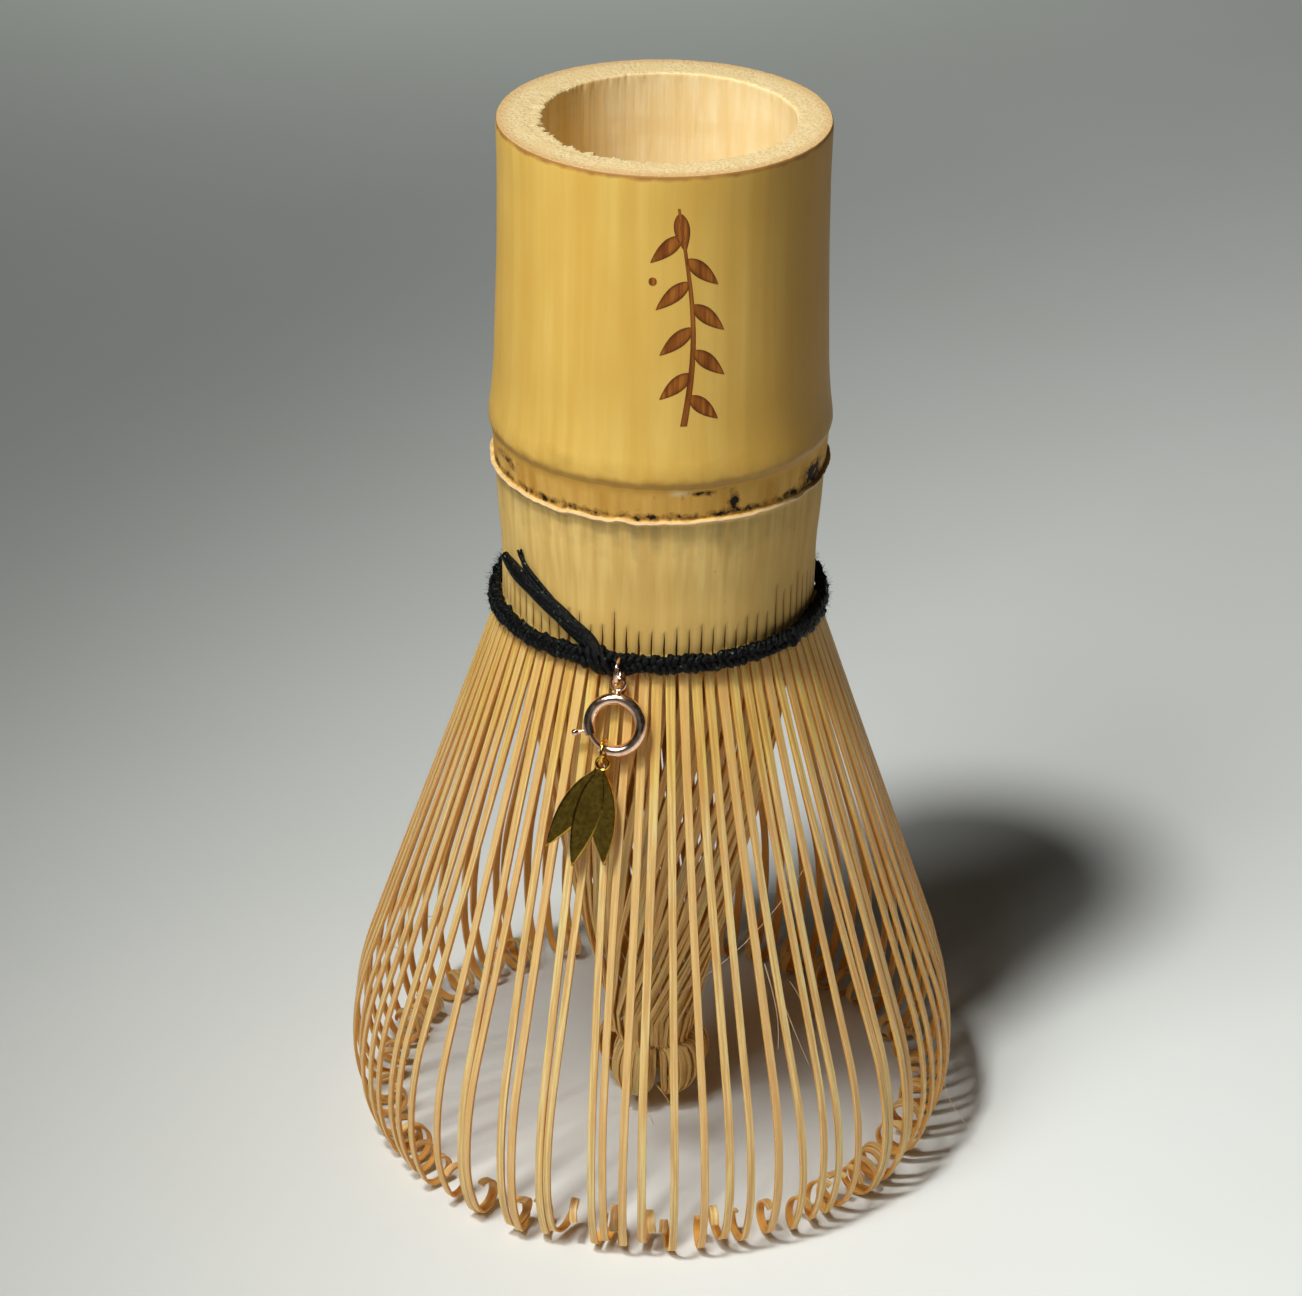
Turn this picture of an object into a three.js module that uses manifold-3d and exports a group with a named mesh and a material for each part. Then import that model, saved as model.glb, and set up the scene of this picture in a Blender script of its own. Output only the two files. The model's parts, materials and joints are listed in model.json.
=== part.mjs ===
// Bamboo tea whisk: one culm split into tines, a binding thread and a small clasp charm.
// Millimetres, +Z up. The origin is on the floor, on the axis of the culm.
import * as THREE from "three";
import { mergeVertices } from "three/addons/utils/BufferGeometryUtils.js";
import Module from "manifold-3d";

const wasm = await Module();
wasm.setup();

const TURN = 2 * Math.PI;
const degrees = THREE.MathUtils.degToRad;

// ---- Culm: the uncut handle above the binding thread ----
const CROWN_HEIGHT = 57.6; // floor to the middle of the binding thread
const COLLAR_HEIGHT = 14.4; // thread to the lip of the outer skin
const GROOVE_HEIGHT = 3.6; // lip to the node ridge
const HANDLE_LENGTH = 29.4; // node ridge to the cut rim
const RIM_RADIUS = 15.1;
const RIDGE_RADIUS = 16.02;
const BELOW_RIM_RADIUS = 15.04;
const MID_RADIUS = 15.44;
const GROOVE_RADIUS = 15.3;
const LIP_RADIUS = 15.95;
const COLLAR_RADIUS = 15.4;
const WAIST_RADIUS = 14.85;
const BORE_RADIUS = 11.55;
const COLLAR_WALL = 2.75; // culm wall at the binding thread
const SEPTUM_THICKNESS = 2.2;
const RIM_CHAMFER = 0.25;
const RIM_FLARE = 3.7; // length over which the rim widens
const MID_RISE = 7.35; // ridge to the culm's middle radius
const RIDGE_FADE = 1.8; // length over which the ridge fades upwards
const RIDGE_FOOT = 0.9; // length over which the ridge falls to the groove
const LIP_HALF_HEIGHT = 0.45;
const LIP_FOOT = 0.9; // underside of the lip below its middle
const LIP_SHOULDER = 0.72; // groove floor above the lip's middle
const WAIST_LENGTH = 2.95; // even part of the collar above the thread
const HANDLE_SIDES = 40;

// ---- Outer tines ----
const SECTORS = 16;
const TINES_PER_SECTOR = 5;
const SPREAD_RADIUS = 30.35; // widest reach of the tines
const SPREAD_HEIGHT = 7.85; // height of that widest place
const TINE_WIDTH = 0.75;
const TINE_THICKNESS = 0.35;
const ROOT_BEND_RADIUS = 4;
const ROOT_BEND_RISE = 1.33; // start of the root bend above the thread's middle
const HIP_BEND_RADIUS = 32; // long bend back to upright
const ANKLE_BEND_RADIUS = 15.4; // bend inwards above the curl
const ANKLE_TURN = degrees(25);
const CURL_RADIUS = 2;
const CURL_END_RADIUS = 1.6;
const CURL_TURN = degrees(255);
const CURL_STEPS = 5;
const ROOT_BAND_THICKNESS = 0.8;
const ROOT_BAND_RISE = 2.3; // top of the uncut root band above the thread's middle
const ROOT_BAND_HEIGHT = 0.85;
const ROOT_INSET = 0.15; // outer face of a tine inside the band's own face
const PIECE_GAP = 0.3; // air between neighbouring pieces of one culm

// ---- Inner tines, twisted into a cone with a curled knob ----
const CORE_BUNDLES = 8;
const CORE_TWIST = degrees(-140); // from the culm to the neck above the knob
const TWIST_GATHER = 2.2; // how much of the twist gathers low down
const CORE_FOOT = 1.2; // underside of the knob above the floor
const KNOB_RADIUS = 4.9;
const KNOB_HEIGHT = 3.6; // widest place of the knob above its foot
const KNOB_FOOT_RADIUS = 3.1;
const NECK_RADIUS = 3.85;
const NECK_RISE = 9.6; // neck above the foot
const CONE_RADIUS = 10.2;
const CONE_RISE = 33.5; // height above the foot where the cone has that radius
const CORE_WALL = 1.2;
const CORE_AXIS_CLEARANCE = 0.6;
const BUNDLE_GAP = degrees(5);
const CONE_STEPS = 11;

// ---- Binding thread ----
const THREAD_HALF_WIDTH = 0.5; // across, on the radius
const THREAD_HALF_HEIGHT = 0.95;
const THREAD_LEAN = degrees(12);
const THREAD_CLEARANCE = 0.27;
const THREAD_SIDES = 8;
const KNOT_AZIMUTH = degrees(-19.5);
const KNOT_SIZE = 1.9;
const TAIL_DIAMETER = 0.7;
const TAIL_STEP = degrees(7); // knot's middle to the start of a tail
const TAIL_UPPER_LIFT = 1; // upper tail above the lower one at the knot
const TAIL_POINTS = 4;
const TAIL_UPPER_AZIMUTH = degrees(-58);
const TAIL_LOWER_AZIMUTH = degrees(-68);
const TAIL_UPPER_RISE = 7.4;
const TAIL_LOWER_RISE = 5.4;

// ---- Charm ----
const CHARM_AZIMUTH = degrees(-12.5);
const JUMP_WIRE = 0.45;
const JUMP_RADIUS = 1.125; // centre line
const STRAND_RADIUS = 0.22; // the thread strand that the jump ring hangs on
const STRAND_SLOT = 0.95;
const LINK_CLEARANCE = 0.08;
const CLASP_RADIUS = 2.45; // centre line of the spring ring's tube
const CLASP_TUBE = 1.1; // outer diameter of the tube
const CLASP_CHANNEL = 0.68; // bore of the tube, where the bolt slides
const EYE_GAP = 0.06; // solder gap between the eye and the tube
const EYE_RADIUS = 0.62;
const EYE_WIRE = 0.35;
const MOUTH_START = degrees(207); // the gap that the bolt closes
const MOUTH_END = degrees(242);
const BOLT_WIRE = 0.5;
const BOLT_REACH = degrees(7); // bolt's tip past the mouth
const BOLT_TAIL = degrees(160);
const TRIGGER_ANGLE = degrees(197);
const TRIGGER_TRAVEL = degrees(38);
const TRIGGER_PIN = 0.36;
const TRIGGER_REACH = 3.85;
const TRIGGER_KNOB = 0.68;
const SPRING_TURNS = 9;
const SPRING_WIRE = 0.1;
const SPRING_TAIL = degrees(75);
const CHANNEL_PAST = degrees(3); // channel beyond the bolt and the spring at either end
const SLOT_PAST = degrees(6); // slot beyond the trigger's travel
const SPRING_END_GAP = degrees(4); // bolt's tail to the spring
const LINK_ANGLE = degrees(250); // where the pendant's ring hangs on the tube
const LINK_WIRE = 0.35;
const LINK_PLAY = 0.24; // spare room inside the pendant's ring
const PENDANT_LENGTH = 10.4;
const PENDANT_WIDTH = 7.4;
const PENDANT_THICKNESS = 0.7;
const PENDANT_HOLE = 0.8;
const PENDANT_TILT = degrees(-12);
const PENDANT_EDGE = 0.35; // metal round the hole
const LEAF_BREADTH = 2.2; // widest place of one leaf
const LEAF_SHOULDER = 0.45; // share of the leaf's length where it is widest
const SIDE_LEAF_SHARE = 0.94; // outer leaves against the middle one

// ---- Derived places ----
const LIP_Z = CROWN_HEIGHT + COLLAR_HEIGHT;
const RIDGE_Z = LIP_Z + GROOVE_HEIGHT;
const RIM_Z = RIDGE_Z + HANDLE_LENGTH;
const BAND_TOP = CROWN_HEIGHT + ROOT_BAND_RISE;
const COLLAR_END = BAND_TOP + PIECE_GAP;
const PITCH = TURN / (SECTORS * TINES_PER_SECTOR);

const bamboo = (color, roughness) =>
  new THREE.MeshStandardMaterial({ color, roughness, metalness: 0 });
const SKIN = bamboo(0xe0bc70, 0.35);
const TINE = bamboo(0xdcbb86, 0.6);
const CORE = bamboo(0xb9935f, 0.7);
const COTTON = bamboo(0x15171a, 0.9);
const ROSE_GOLD = new THREE.MeshStandardMaterial({ color: 0xc79a78, roughness: 0.2, metalness: 1 });
const GOLD = new THREE.MeshStandardMaterial({ color: 0x8a6f2c, roughness: 0.15, metalness: 1 });
const STEEL = new THREE.MeshStandardMaterial({ color: 0x9a9a98, roughness: 0.3, metalness: 1 });

const whisk = new THREE.Group();

function addPart(parent, name, geometry, material) {
  const mesh = new THREE.Mesh(geometry, material);
  mesh.name = name;
  parent.add(mesh);
  return mesh;
}

// ---- Solids for the boolean work ----
function solidOf(geometry) {
  const bare = geometry.clone();
  bare.deleteAttribute("normal");
  bare.deleteAttribute("uv");
  const merged = mergeVertices(bare, 1e-4);
  return new wasm.Manifold(
    new wasm.Mesh({
      numProp: 3,
      vertProperties: new Float32Array(merged.attributes.position.array),
      triVerts: new Uint32Array(merged.index.array),
    }),
  );
}

function geometryOf(solid) {
  const mesh = solid.getMesh();
  const geometry = new THREE.BufferGeometry();
  geometry.setAttribute("position", new THREE.BufferAttribute(mesh.vertProperties, 3));
  geometry.setIndex(new THREE.BufferAttribute(mesh.triVerts, 1));
  geometry.computeVertexNormals();
  return geometry;
}

// Moves every vertex of a geometry by a function of its place.
function reshape(geometry, place) {
  const position = geometry.attributes.position;
  const point = new THREE.Vector3();
  for (let i = 0; i < position.count; i += 1) {
    place(point.fromBufferAttribute(position, i));
    position.setXYZ(i, point.x, point.y, point.z);
  }
  geometry.computeVertexNormals();
  return geometry;
}

// ---- Handle ----
function makeHandle() {
  const chamber = WAIST_RADIUS - COLLAR_WALL;
  const septumTop = RIDGE_Z + SEPTUM_THICKNESS / 2;
  const septumFoot = RIDGE_Z - SEPTUM_THICKNESS / 2;
  const profile = [
    [0, septumFoot],
    [chamber, septumFoot],
    [chamber, COLLAR_END],
    [WAIST_RADIUS, COLLAR_END],
    [WAIST_RADIUS, COLLAR_END + WAIST_LENGTH],
    [COLLAR_RADIUS, LIP_Z - LIP_FOOT],
    [LIP_RADIUS, LIP_Z - LIP_HALF_HEIGHT],
    [LIP_RADIUS, LIP_Z + LIP_HALF_HEIGHT],
    [GROOVE_RADIUS, LIP_Z + LIP_SHOULDER],
    [GROOVE_RADIUS, RIDGE_Z - RIDGE_FOOT],
    [RIDGE_RADIUS, RIDGE_Z],
    [(RIDGE_RADIUS + MID_RADIUS) / 2, RIDGE_Z + RIDGE_FADE],
    [MID_RADIUS, RIDGE_Z + MID_RISE],
    [BELOW_RIM_RADIUS, RIM_Z - RIM_FLARE],
    [RIM_RADIUS, RIM_Z - RIM_CHAMFER],
    [RIM_RADIUS - RIM_CHAMFER, RIM_Z],
    [BORE_RADIUS, RIM_Z],
    [BORE_RADIUS, septumTop],
    [0, septumTop],
  ];
  const points = profile.map(([r, z]) => new THREE.Vector2(r, z));
  return new THREE.LatheGeometry(points, HANDLE_SIDES).rotateX(Math.PI / 2);
}

// ---- Outer tines ----
// The outer face of a tine as bends in one upright plane: each stretch turns through an
// angle at a radius, or runs straight. The run between the two long bends is worked out
// so that the tine reaches its widest place.
function tineStretches() {
  const reach = SPREAD_RADIUS - WAIST_RADIUS + ROOT_INSET;
  const drop = CROWN_HEIGHT + ROOT_BEND_RISE - SPREAD_HEIGHT;
  const bends = ROOT_BEND_RADIUS + HIP_BEND_RADIUS;
  const run = Math.sqrt(drop ** 2 + (reach - bends) ** 2 - bends ** 2);
  const flare = Math.atan2(reach - bends, drop) + Math.atan2(bends, run);
  return [
    { turn: -flare, radius: ROOT_BEND_RADIUS, steps: 1 },
    { turn: 0, length: run, steps: 1 },
    { turn: flare, radius: HIP_BEND_RADIUS, steps: 2 },
    { turn: ANKLE_TURN, radius: ANKLE_BEND_RADIUS, steps: 1 },
    { turn: CURL_TURN, radius: CURL_RADIUS, endRadius: CURL_END_RADIUS, steps: CURL_STEPS },
  ];
}

// Stations down the tine: place and the direction in which the tine runs.
// The heading is 0 straight down and grows as the tine turns in towards the axis.
function tineStations() {
  const stations = [];
  const rootTop = BAND_TOP - PIECE_GAP;
  let reach = WAIST_RADIUS - ROOT_INSET;
  let height = CROWN_HEIGHT + ROOT_BEND_RISE;
  let heading = 0;
  stations.push({ reach, height: rootTop, heading });
  stations.push({ reach, height, heading });
  for (const stretch of tineStretches()) {
    for (let i = 0; i < stretch.steps; i += 1) {
      const turn = stretch.turn / stretch.steps;
      const share = (i + 0.5) / stretch.steps;
      const radius = THREE.MathUtils.lerp(stretch.radius, stretch.endRadius ?? stretch.radius, share);
      const chord = turn ? 2 * radius * Math.sin(Math.abs(turn) / 2) : stretch.length / stretch.steps;
      const middle = heading + turn / 2;
      reach -= chord * Math.sin(middle);
      height -= chord * Math.cos(middle);
      heading += turn;
      stations.push({ reach, height, heading });
    }
  }
  return stations;
}

const STATIONS = tineStations();
const STRIP_FOOT = Math.min(...STATIONS.map((station) => station.height));

function makeTine(azimuth) {
  const steps = STATIONS.length - 1;
  const strip = new THREE.BoxGeometry(TINE_WIDTH, TINE_THICKNESS, steps, 1, 1, steps);
  reshape(strip, (point) => {
    const station = STATIONS[Math.round(steps / 2 - point.z)];
    const depth = TINE_THICKNESS / 2 + point.y;
    const reach = station.reach - depth * Math.cos(station.heading);
    const height = station.height + depth * Math.sin(station.heading);
    point.set(point.x, -reach, height - STRIP_FOOT);
  });
  return strip.rotateZ(azimuth);
}

function makeRootBand(middle) {
  const half = (TINES_PER_SECTOR * PITCH) / 2 - PIECE_GAP / 2 / WAIST_RADIUS;
  const outline = new THREE.Shape();
  outline.absarc(0, 0, WAIST_RADIUS, -half, half, false);
  outline.absarc(0, 0, WAIST_RADIUS - ROOT_BAND_THICKNESS, half, -half, true);
  const settings = { depth: ROOT_BAND_HEIGHT, bevelEnabled: false, curveSegments: 3 };
  const band = new THREE.ExtrudeGeometry(outline, settings);
  band.translate(0, 0, BAND_TOP - ROOT_BAND_HEIGHT);
  return band.rotateZ(middle - Math.PI / 2);
}

function makeSector(index) {
  const first = index * TINES_PER_SECTOR;
  let solid = solidOf(makeRootBand((first + (TINES_PER_SECTOR - 1) / 2) * PITCH));
  for (let i = 0; i < TINES_PER_SECTOR; i += 1) {
    solid = solid.add(solidOf(makeTine((first + i) * PITCH)));
  }
  return geometryOf(solid);
}

// ---- Inner tines ----
function coreRadius(height) {
  const curve = [
    [CORE_FOOT, KNOB_FOOT_RADIUS],
    [CORE_FOOT + KNOB_HEIGHT, KNOB_RADIUS],
    [CORE_FOOT + NECK_RISE, NECK_RADIUS],
    [CORE_FOOT + CONE_RISE, CONE_RADIUS],
    [BAND_TOP, WAIST_RADIUS - ROOT_BAND_THICKNESS - 2 * PIECE_GAP],
  ];
  const above = curve.findIndex(([z]) => z >= height - 1e-6);
  const [z1, r1] = curve[Math.max(above, 1)];
  const [z0, r0] = curve[Math.max(above, 1) - 1];
  return THREE.MathUtils.lerp(r0, r1, (height - z0) / (z1 - z0));
}

// Heights at which a bundle has a row of vertices: the knob's two, then evenly up the cone.
function coreLevels() {
  const neck = CORE_FOOT + NECK_RISE;
  const levels = [CORE_FOOT, CORE_FOOT + KNOB_HEIGHT];
  for (let i = 0; i <= CONE_STEPS; i += 1) {
    levels.push(THREE.MathUtils.lerp(neck, BAND_TOP, i / CONE_STEPS));
  }
  return levels;
}

function makeBundle(index) {
  const heights = coreLevels();
  const rows = heights.length - 1;
  const block = new THREE.BoxGeometry(1, 1, rows, 3, 1, rows);
  const span = BAND_TOP - CORE_FOOT;
  reshape(block, (point) => {
    const height = heights[Math.round(point.z + rows / 2)];
    const outer = coreRadius(height);
    const inner = Math.max(outer - CORE_WALL, CORE_AXIS_CLEARANCE);
    const radius = point.y < 0 ? outer : inner;
    const width = TURN / CORE_BUNDLES - BUNDLE_GAP;
    const fall = Math.min((BAND_TOP - height) / (span - NECK_RISE), 1);
    const twist = CORE_TWIST * fall ** TWIST_GATHER;
    const angle = index * (TURN / CORE_BUNDLES) + point.x * width + twist;
    point.set(radius * Math.sin(angle), -radius * Math.cos(angle), height);
  });
  return block;
}

// ---- Binding thread ----
// Outer face of the tines, on the radius, at a height near the thread.
function tineFace(height) {
  const below = STATIONS.findIndex((station) => station.height - STRIP_FOOT < height);
  const low = STATIONS[below];
  const high = STATIONS[below - 1];
  const share = (height + STRIP_FOOT - low.height) / (high.height - low.height);
  return THREE.MathUtils.lerp(low.reach, high.reach, share);
}

const THREAD_RADIUS = tineFace(CROWN_HEIGHT) + THREAD_CLEARANCE + THREAD_HALF_WIDTH;
const STRAND_REACH = THREAD_RADIUS + THREAD_HALF_WIDTH / 2;
const STRAND_HEIGHT = CROWN_HEIGHT - THREAD_HALF_HEIGHT / 2;

function makeThread() {
  const section = [];
  for (let i = 0; i <= THREAD_SIDES; i += 1) {
    const angle = (i / THREAD_SIDES) * TURN;
    const across = THREAD_HALF_WIDTH * Math.cos(angle);
    const up = THREAD_HALF_HEIGHT * Math.sin(angle);
    const reach = across * Math.cos(THREAD_LEAN) - up * Math.sin(THREAD_LEAN);
    const rise = across * Math.sin(THREAD_LEAN) + up * Math.cos(THREAD_LEAN);
    section.push(new THREE.Vector2(THREAD_RADIUS + reach, CROWN_HEIGHT + rise));
  }
  const ring = new THREE.LatheGeometry(section, HANDLE_SIDES).rotateX(Math.PI / 2);
  const slot = new THREE.BoxGeometry(STRAND_SLOT, 4 * THREAD_HALF_WIDTH, 4 * THREAD_HALF_HEIGHT);
  slot.translate(0, -THREAD_RADIUS, CROWN_HEIGHT).rotateZ(CHARM_AZIMUTH);
  const length = STRAND_SLOT + 2 * STRAND_RADIUS;
  const strand = new THREE.CylinderGeometry(STRAND_RADIUS, STRAND_RADIUS, length, 8);
  strand.rotateZ(Math.PI / 2).translate(0, -STRAND_REACH, STRAND_HEIGHT).rotateZ(CHARM_AZIMUTH);
  return geometryOf(solidOf(ring).subtract(solidOf(slot)).add(solidOf(strand)));
}

// A place on the collar or on the thread, by azimuth from the front, radius and height.
function place(azimuth, radius, height) {
  return new THREE.Vector3(radius * Math.sin(azimuth), -radius * Math.cos(azimuth), height);
}

function makeKnot() {
  const radius = THREAD_RADIUS + THREAD_HALF_WIDTH + PIECE_GAP / 2 + KNOT_SIZE / 4;
  const knot = new THREE.SphereGeometry(KNOT_SIZE / 2, 10, 7);
  knot.scale(1, 0.5, 1);
  knot.translate(0, -radius, CROWN_HEIGHT).rotateZ(KNOT_AZIMUTH);
  return knot;
}

function makeTail(azimuth, rise, lift) {
  const radius = COLLAR_RADIUS + PIECE_GAP + TAIL_DIAMETER / 2;
  const start = KNOT_AZIMUTH - TAIL_STEP;
  const foot = CROWN_HEIGHT + THREAD_HALF_HEIGHT + TAIL_DIAMETER + lift;
  const route = [];
  for (let i = 0; i < TAIL_POINTS; i += 1) {
    const share = i / (TAIL_POINTS - 1);
    route.push(place(THREE.MathUtils.lerp(start, azimuth, share), radius, foot + rise * share));
  }
  const outline = new THREE.Shape().absarc(0, 0, TAIL_DIAMETER / 2, 0, TURN, false);
  return new THREE.ExtrudeGeometry(outline, {
    extrudePath: new THREE.CatmullRomCurve3(route),
    steps: 7,
    curveSegments: 3,
  });
}

// ---- Charm ----
// The charm group stands at its azimuth with -Y pointing out from the culm.
const charm = new THREE.Group();
charm.rotation.z = CHARM_AZIMUTH;
whisk.add(charm);

const JUMP_REACH = STRAND_REACH + JUMP_RADIUS - STRAND_RADIUS - JUMP_WIRE / 2 - LINK_CLEARANCE;

function makeJumpRing() {
  const ring = new THREE.TorusGeometry(JUMP_RADIUS, JUMP_WIRE / 2, 8, 20);
  return ring.rotateY(Math.PI / 2).translate(0, -JUMP_REACH, STRAND_HEIGHT);
}

// The clasp hangs against the flaring tines: X across, Y up the tines, Z out from them.
// Its eye holds the lowest place of the jump ring's wire.
const FACE_LEAN = -tineStretches()[0].turn;
const EYE_RISE = CLASP_RADIUS + CLASP_TUBE / 2 + EYE_GAP + EYE_RADIUS + EYE_WIRE / 2;
const EYE_GRIP = EYE_RADIUS - EYE_WIRE / 2 - JUMP_WIRE / 2 - LINK_CLEARANCE;
const hang = new THREE.Group();
hang.rotation.x = Math.PI / 2 - FACE_LEAN;
hang.position.set(0, -JUMP_REACH, STRAND_HEIGHT - JUMP_RADIUS);
hang.position.y -= (EYE_RISE + EYE_GRIP) * Math.sin(FACE_LEAN);
hang.position.z -= (EYE_RISE + EYE_GRIP) * Math.cos(FACE_LEAN);
charm.add(hang);

class ArcPath extends THREE.Curve {
  constructor(radius, start, end) {
    super();
    this.radius = radius;
    this.start = start;
    this.end = end;
  }
  getPoint(share, target = new THREE.Vector3()) {
    const angle = THREE.MathUtils.lerp(this.start, this.end, share);
    return target.set(this.radius * Math.cos(angle), this.radius * Math.sin(angle), 0);
  }
}

class SpringPath extends THREE.Curve {
  getPoint(share, target = new THREE.Vector3()) {
    const coil = (CLASP_CHANNEL - SPRING_WIRE) / 2 - LINK_CLEARANCE;
    const angle = THREE.MathUtils.lerp(SPRING_TAIL, BOLT_TAIL - SPRING_END_GAP, share);
    const turn = share * SPRING_TURNS * TURN;
    const radius = CLASP_RADIUS + coil * Math.cos(turn);
    return target.set(radius * Math.cos(angle), radius * Math.sin(angle), coil * Math.sin(turn));
  }
}

function makeWire(path, diameter, steps, segments) {
  const outline = new THREE.Shape().absarc(0, 0, diameter / 2, 0, TURN, false);
  const settings = { extrudePath: path, steps, curveSegments: segments };
  return new THREE.ExtrudeGeometry(outline, settings);
}

// A curved bar of square section along an arc, for cutting the trigger's slot.
function makeArcBar(start, end, inner, outer, width) {
  const steps = 6;
  const bar = new THREE.BoxGeometry(1, 1, width, steps, 1, 1);
  return reshape(bar, (point) => {
    const angle = THREE.MathUtils.lerp(end, start, point.x + 0.5);
    const radius = THREE.MathUtils.lerp(inner, outer, point.y + 0.5);
    point.set(radius * Math.cos(angle), radius * Math.sin(angle), point.z);
  });
}

function makeClaspTube() {
  const path = new ArcPath(CLASP_RADIUS, MOUTH_END, MOUTH_START + TURN);
  const tube = solidOf(makeWire(path, CLASP_TUBE, 26, 4));
  const retracted = SPRING_TAIL - TRIGGER_TRAVEL - CHANNEL_PAST;
  const channelPath = new ArcPath(CLASP_RADIUS, retracted, MOUTH_START + CHANNEL_PAST);
  const channel = solidOf(makeWire(channelPath, CLASP_CHANNEL, 16, 3));
  const socketEnd = MOUTH_END + BOLT_REACH + CHANNEL_PAST;
  const socketPath = new ArcPath(CLASP_RADIUS, MOUTH_END - CHANNEL_PAST, socketEnd);
  const socket = solidOf(makeWire(socketPath, CLASP_CHANNEL, 2, 3));
  const slotStart = TRIGGER_ANGLE - TRIGGER_TRAVEL - SLOT_PAST;
  const slotWidth = TRIGGER_PIN + 2 * LINK_CLEARANCE;
  const slotEnd = MOUTH_START + CHANNEL_PAST;
  const slotOuter = CLASP_RADIUS + CLASP_TUBE;
  const slotBar = makeArcBar(slotStart, slotEnd, CLASP_RADIUS, slotOuter, slotWidth);
  return geometryOf(tube.subtract(channel).subtract(socket).subtract(solidOf(slotBar)));
}

function makeBolt() {
  const path = new ArcPath(CLASP_RADIUS, BOLT_TAIL, MOUTH_END + BOLT_REACH);
  const wire = solidOf(makeWire(path, BOLT_WIRE, 12, 3));
  const length = TRIGGER_REACH - CLASP_RADIUS;
  const pin = new THREE.CylinderGeometry(TRIGGER_PIN / 2, TRIGGER_PIN / 2, length, 8);
  pin.rotateZ(Math.PI / 2).translate(CLASP_RADIUS + length / 2, 0, 0).rotateZ(TRIGGER_ANGLE);
  const knob = new THREE.SphereGeometry(TRIGGER_KNOB / 2, 10, 7);
  knob.translate(TRIGGER_REACH, 0, 0).rotateZ(TRIGGER_ANGLE);
  return geometryOf(wire.add(solidOf(pin)).add(solidOf(knob)));
}

function makeEye() {
  return new THREE.TorusGeometry(EYE_RADIUS, EYE_WIRE / 2, 6, 14).translate(0, EYE_RISE, 0);
}

// The pendant's ring stands across the tube and hangs from its lower side. Inside it
// there is room for the tube, the pendant's edge and some play.
const link = new THREE.Vector3(
  CLASP_RADIUS * Math.cos(LINK_ANGLE),
  CLASP_RADIUS * Math.sin(LINK_ANGLE),
  0,
);
const LINK_ROOM = CLASP_TUBE + PENDANT_EDGE + 2 * LINK_CLEARANCE + LINK_PLAY;
const LINK_RADIUS = (LINK_ROOM + LINK_WIRE) / 2;
const LINK_SAG = LINK_RADIUS - LINK_WIRE / 2 - CLASP_TUBE / 2 - LINK_CLEARANCE;

function makeLinkRing() {
  const ring = new THREE.TorusGeometry(LINK_RADIUS, LINK_WIRE / 2, 6, 16).rotateY(Math.PI / 2);
  return ring.translate(link.x, link.y - LINK_SAG, 0);
}

// Three slim leaves that hang fanned from one stem.
function makePendant() {
  const body = PENDANT_LENGTH - PENDANT_HOLE / 2 - PENDANT_EDGE;
  const stem = PENDANT_HOLE / 2 + PENDANT_EDGE;
  const settings = { depth: PENDANT_THICKNESS, bevelEnabled: false, curveSegments: 4 };
  let solid = solidOf(
    new THREE.CylinderGeometry(stem, stem, PENDANT_THICKNESS, 16).rotateX(Math.PI / 2),
  );
  for (const side of [-1, 0, 1]) {
    const length = side ? body * SIDE_LEAF_SHARE : body;
    const leaf = new THREE.Shape();
    leaf.moveTo(0, 0);
    leaf.quadraticCurveTo(LEAF_BREADTH, -length * LEAF_SHOULDER, 0, -length);
    leaf.quadraticCurveTo(-LEAF_BREADTH, -length * LEAF_SHOULDER, 0, 0);
    const blade = new THREE.ExtrudeGeometry(leaf, settings).translate(0, 0, -PENDANT_THICKNESS / 2);
    const fan = Math.atan2((PENDANT_WIDTH - LEAF_BREADTH / 2) / 2, body);
    solid = solid.add(solidOf(blade.rotateZ(side * fan)));
  }
  const drill = PENDANT_THICKNESS * 2;
  const hole = new THREE.CylinderGeometry(PENDANT_HOLE / 2, PENDANT_HOLE / 2, drill, 14);
  solid = solid.subtract(solidOf(hole.rotateX(Math.PI / 2)));
  const drop = LINK_SAG + LINK_RADIUS + (PENDANT_HOLE - LINK_WIRE) / 2 - LINK_CLEARANCE;
  return geometryOf(solid).rotateZ(PENDANT_TILT).translate(link.x, link.y - drop, 0);
}

// ---- Assembly ----
addPart(whisk, "handle", makeHandle(), SKIN);
for (let i = 0; i < SECTORS; i += 1) {
  addPart(whisk, `outer_tines_${String(i + 1).padStart(2, "0")}`, makeSector(i), TINE);
}
for (let i = 0; i < CORE_BUNDLES; i += 1) {
  addPart(whisk, `inner_tines_${i + 1}`, makeBundle(i), CORE);
}
addPart(whisk, "binding_thread", makeThread(), COTTON);
addPart(whisk, "thread_knot", makeKnot(), COTTON);
addPart(whisk, "thread_tail_upper", makeTail(TAIL_UPPER_AZIMUTH, TAIL_UPPER_RISE, TAIL_UPPER_LIFT), COTTON);
addPart(whisk, "thread_tail_lower", makeTail(TAIL_LOWER_AZIMUTH, TAIL_LOWER_RISE, 0), COTTON);
addPart(charm, "jump_ring", makeJumpRing(), ROSE_GOLD);
addPart(hang, "clasp_tube", makeClaspTube(), ROSE_GOLD);
addPart(hang, "clasp_eye", makeEye(), ROSE_GOLD);
addPart(hang, "clasp_bolt", makeBolt(), ROSE_GOLD);
addPart(hang, "clasp_spring", makeWire(new SpringPath(), SPRING_WIRE, SPRING_TURNS * 6, 2), STEEL);
addPart(hang, "pendant_ring", makeLinkRing(), GOLD);
addPart(hang, "pendant", makePendant(), GOLD);

export default whisk;
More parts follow.
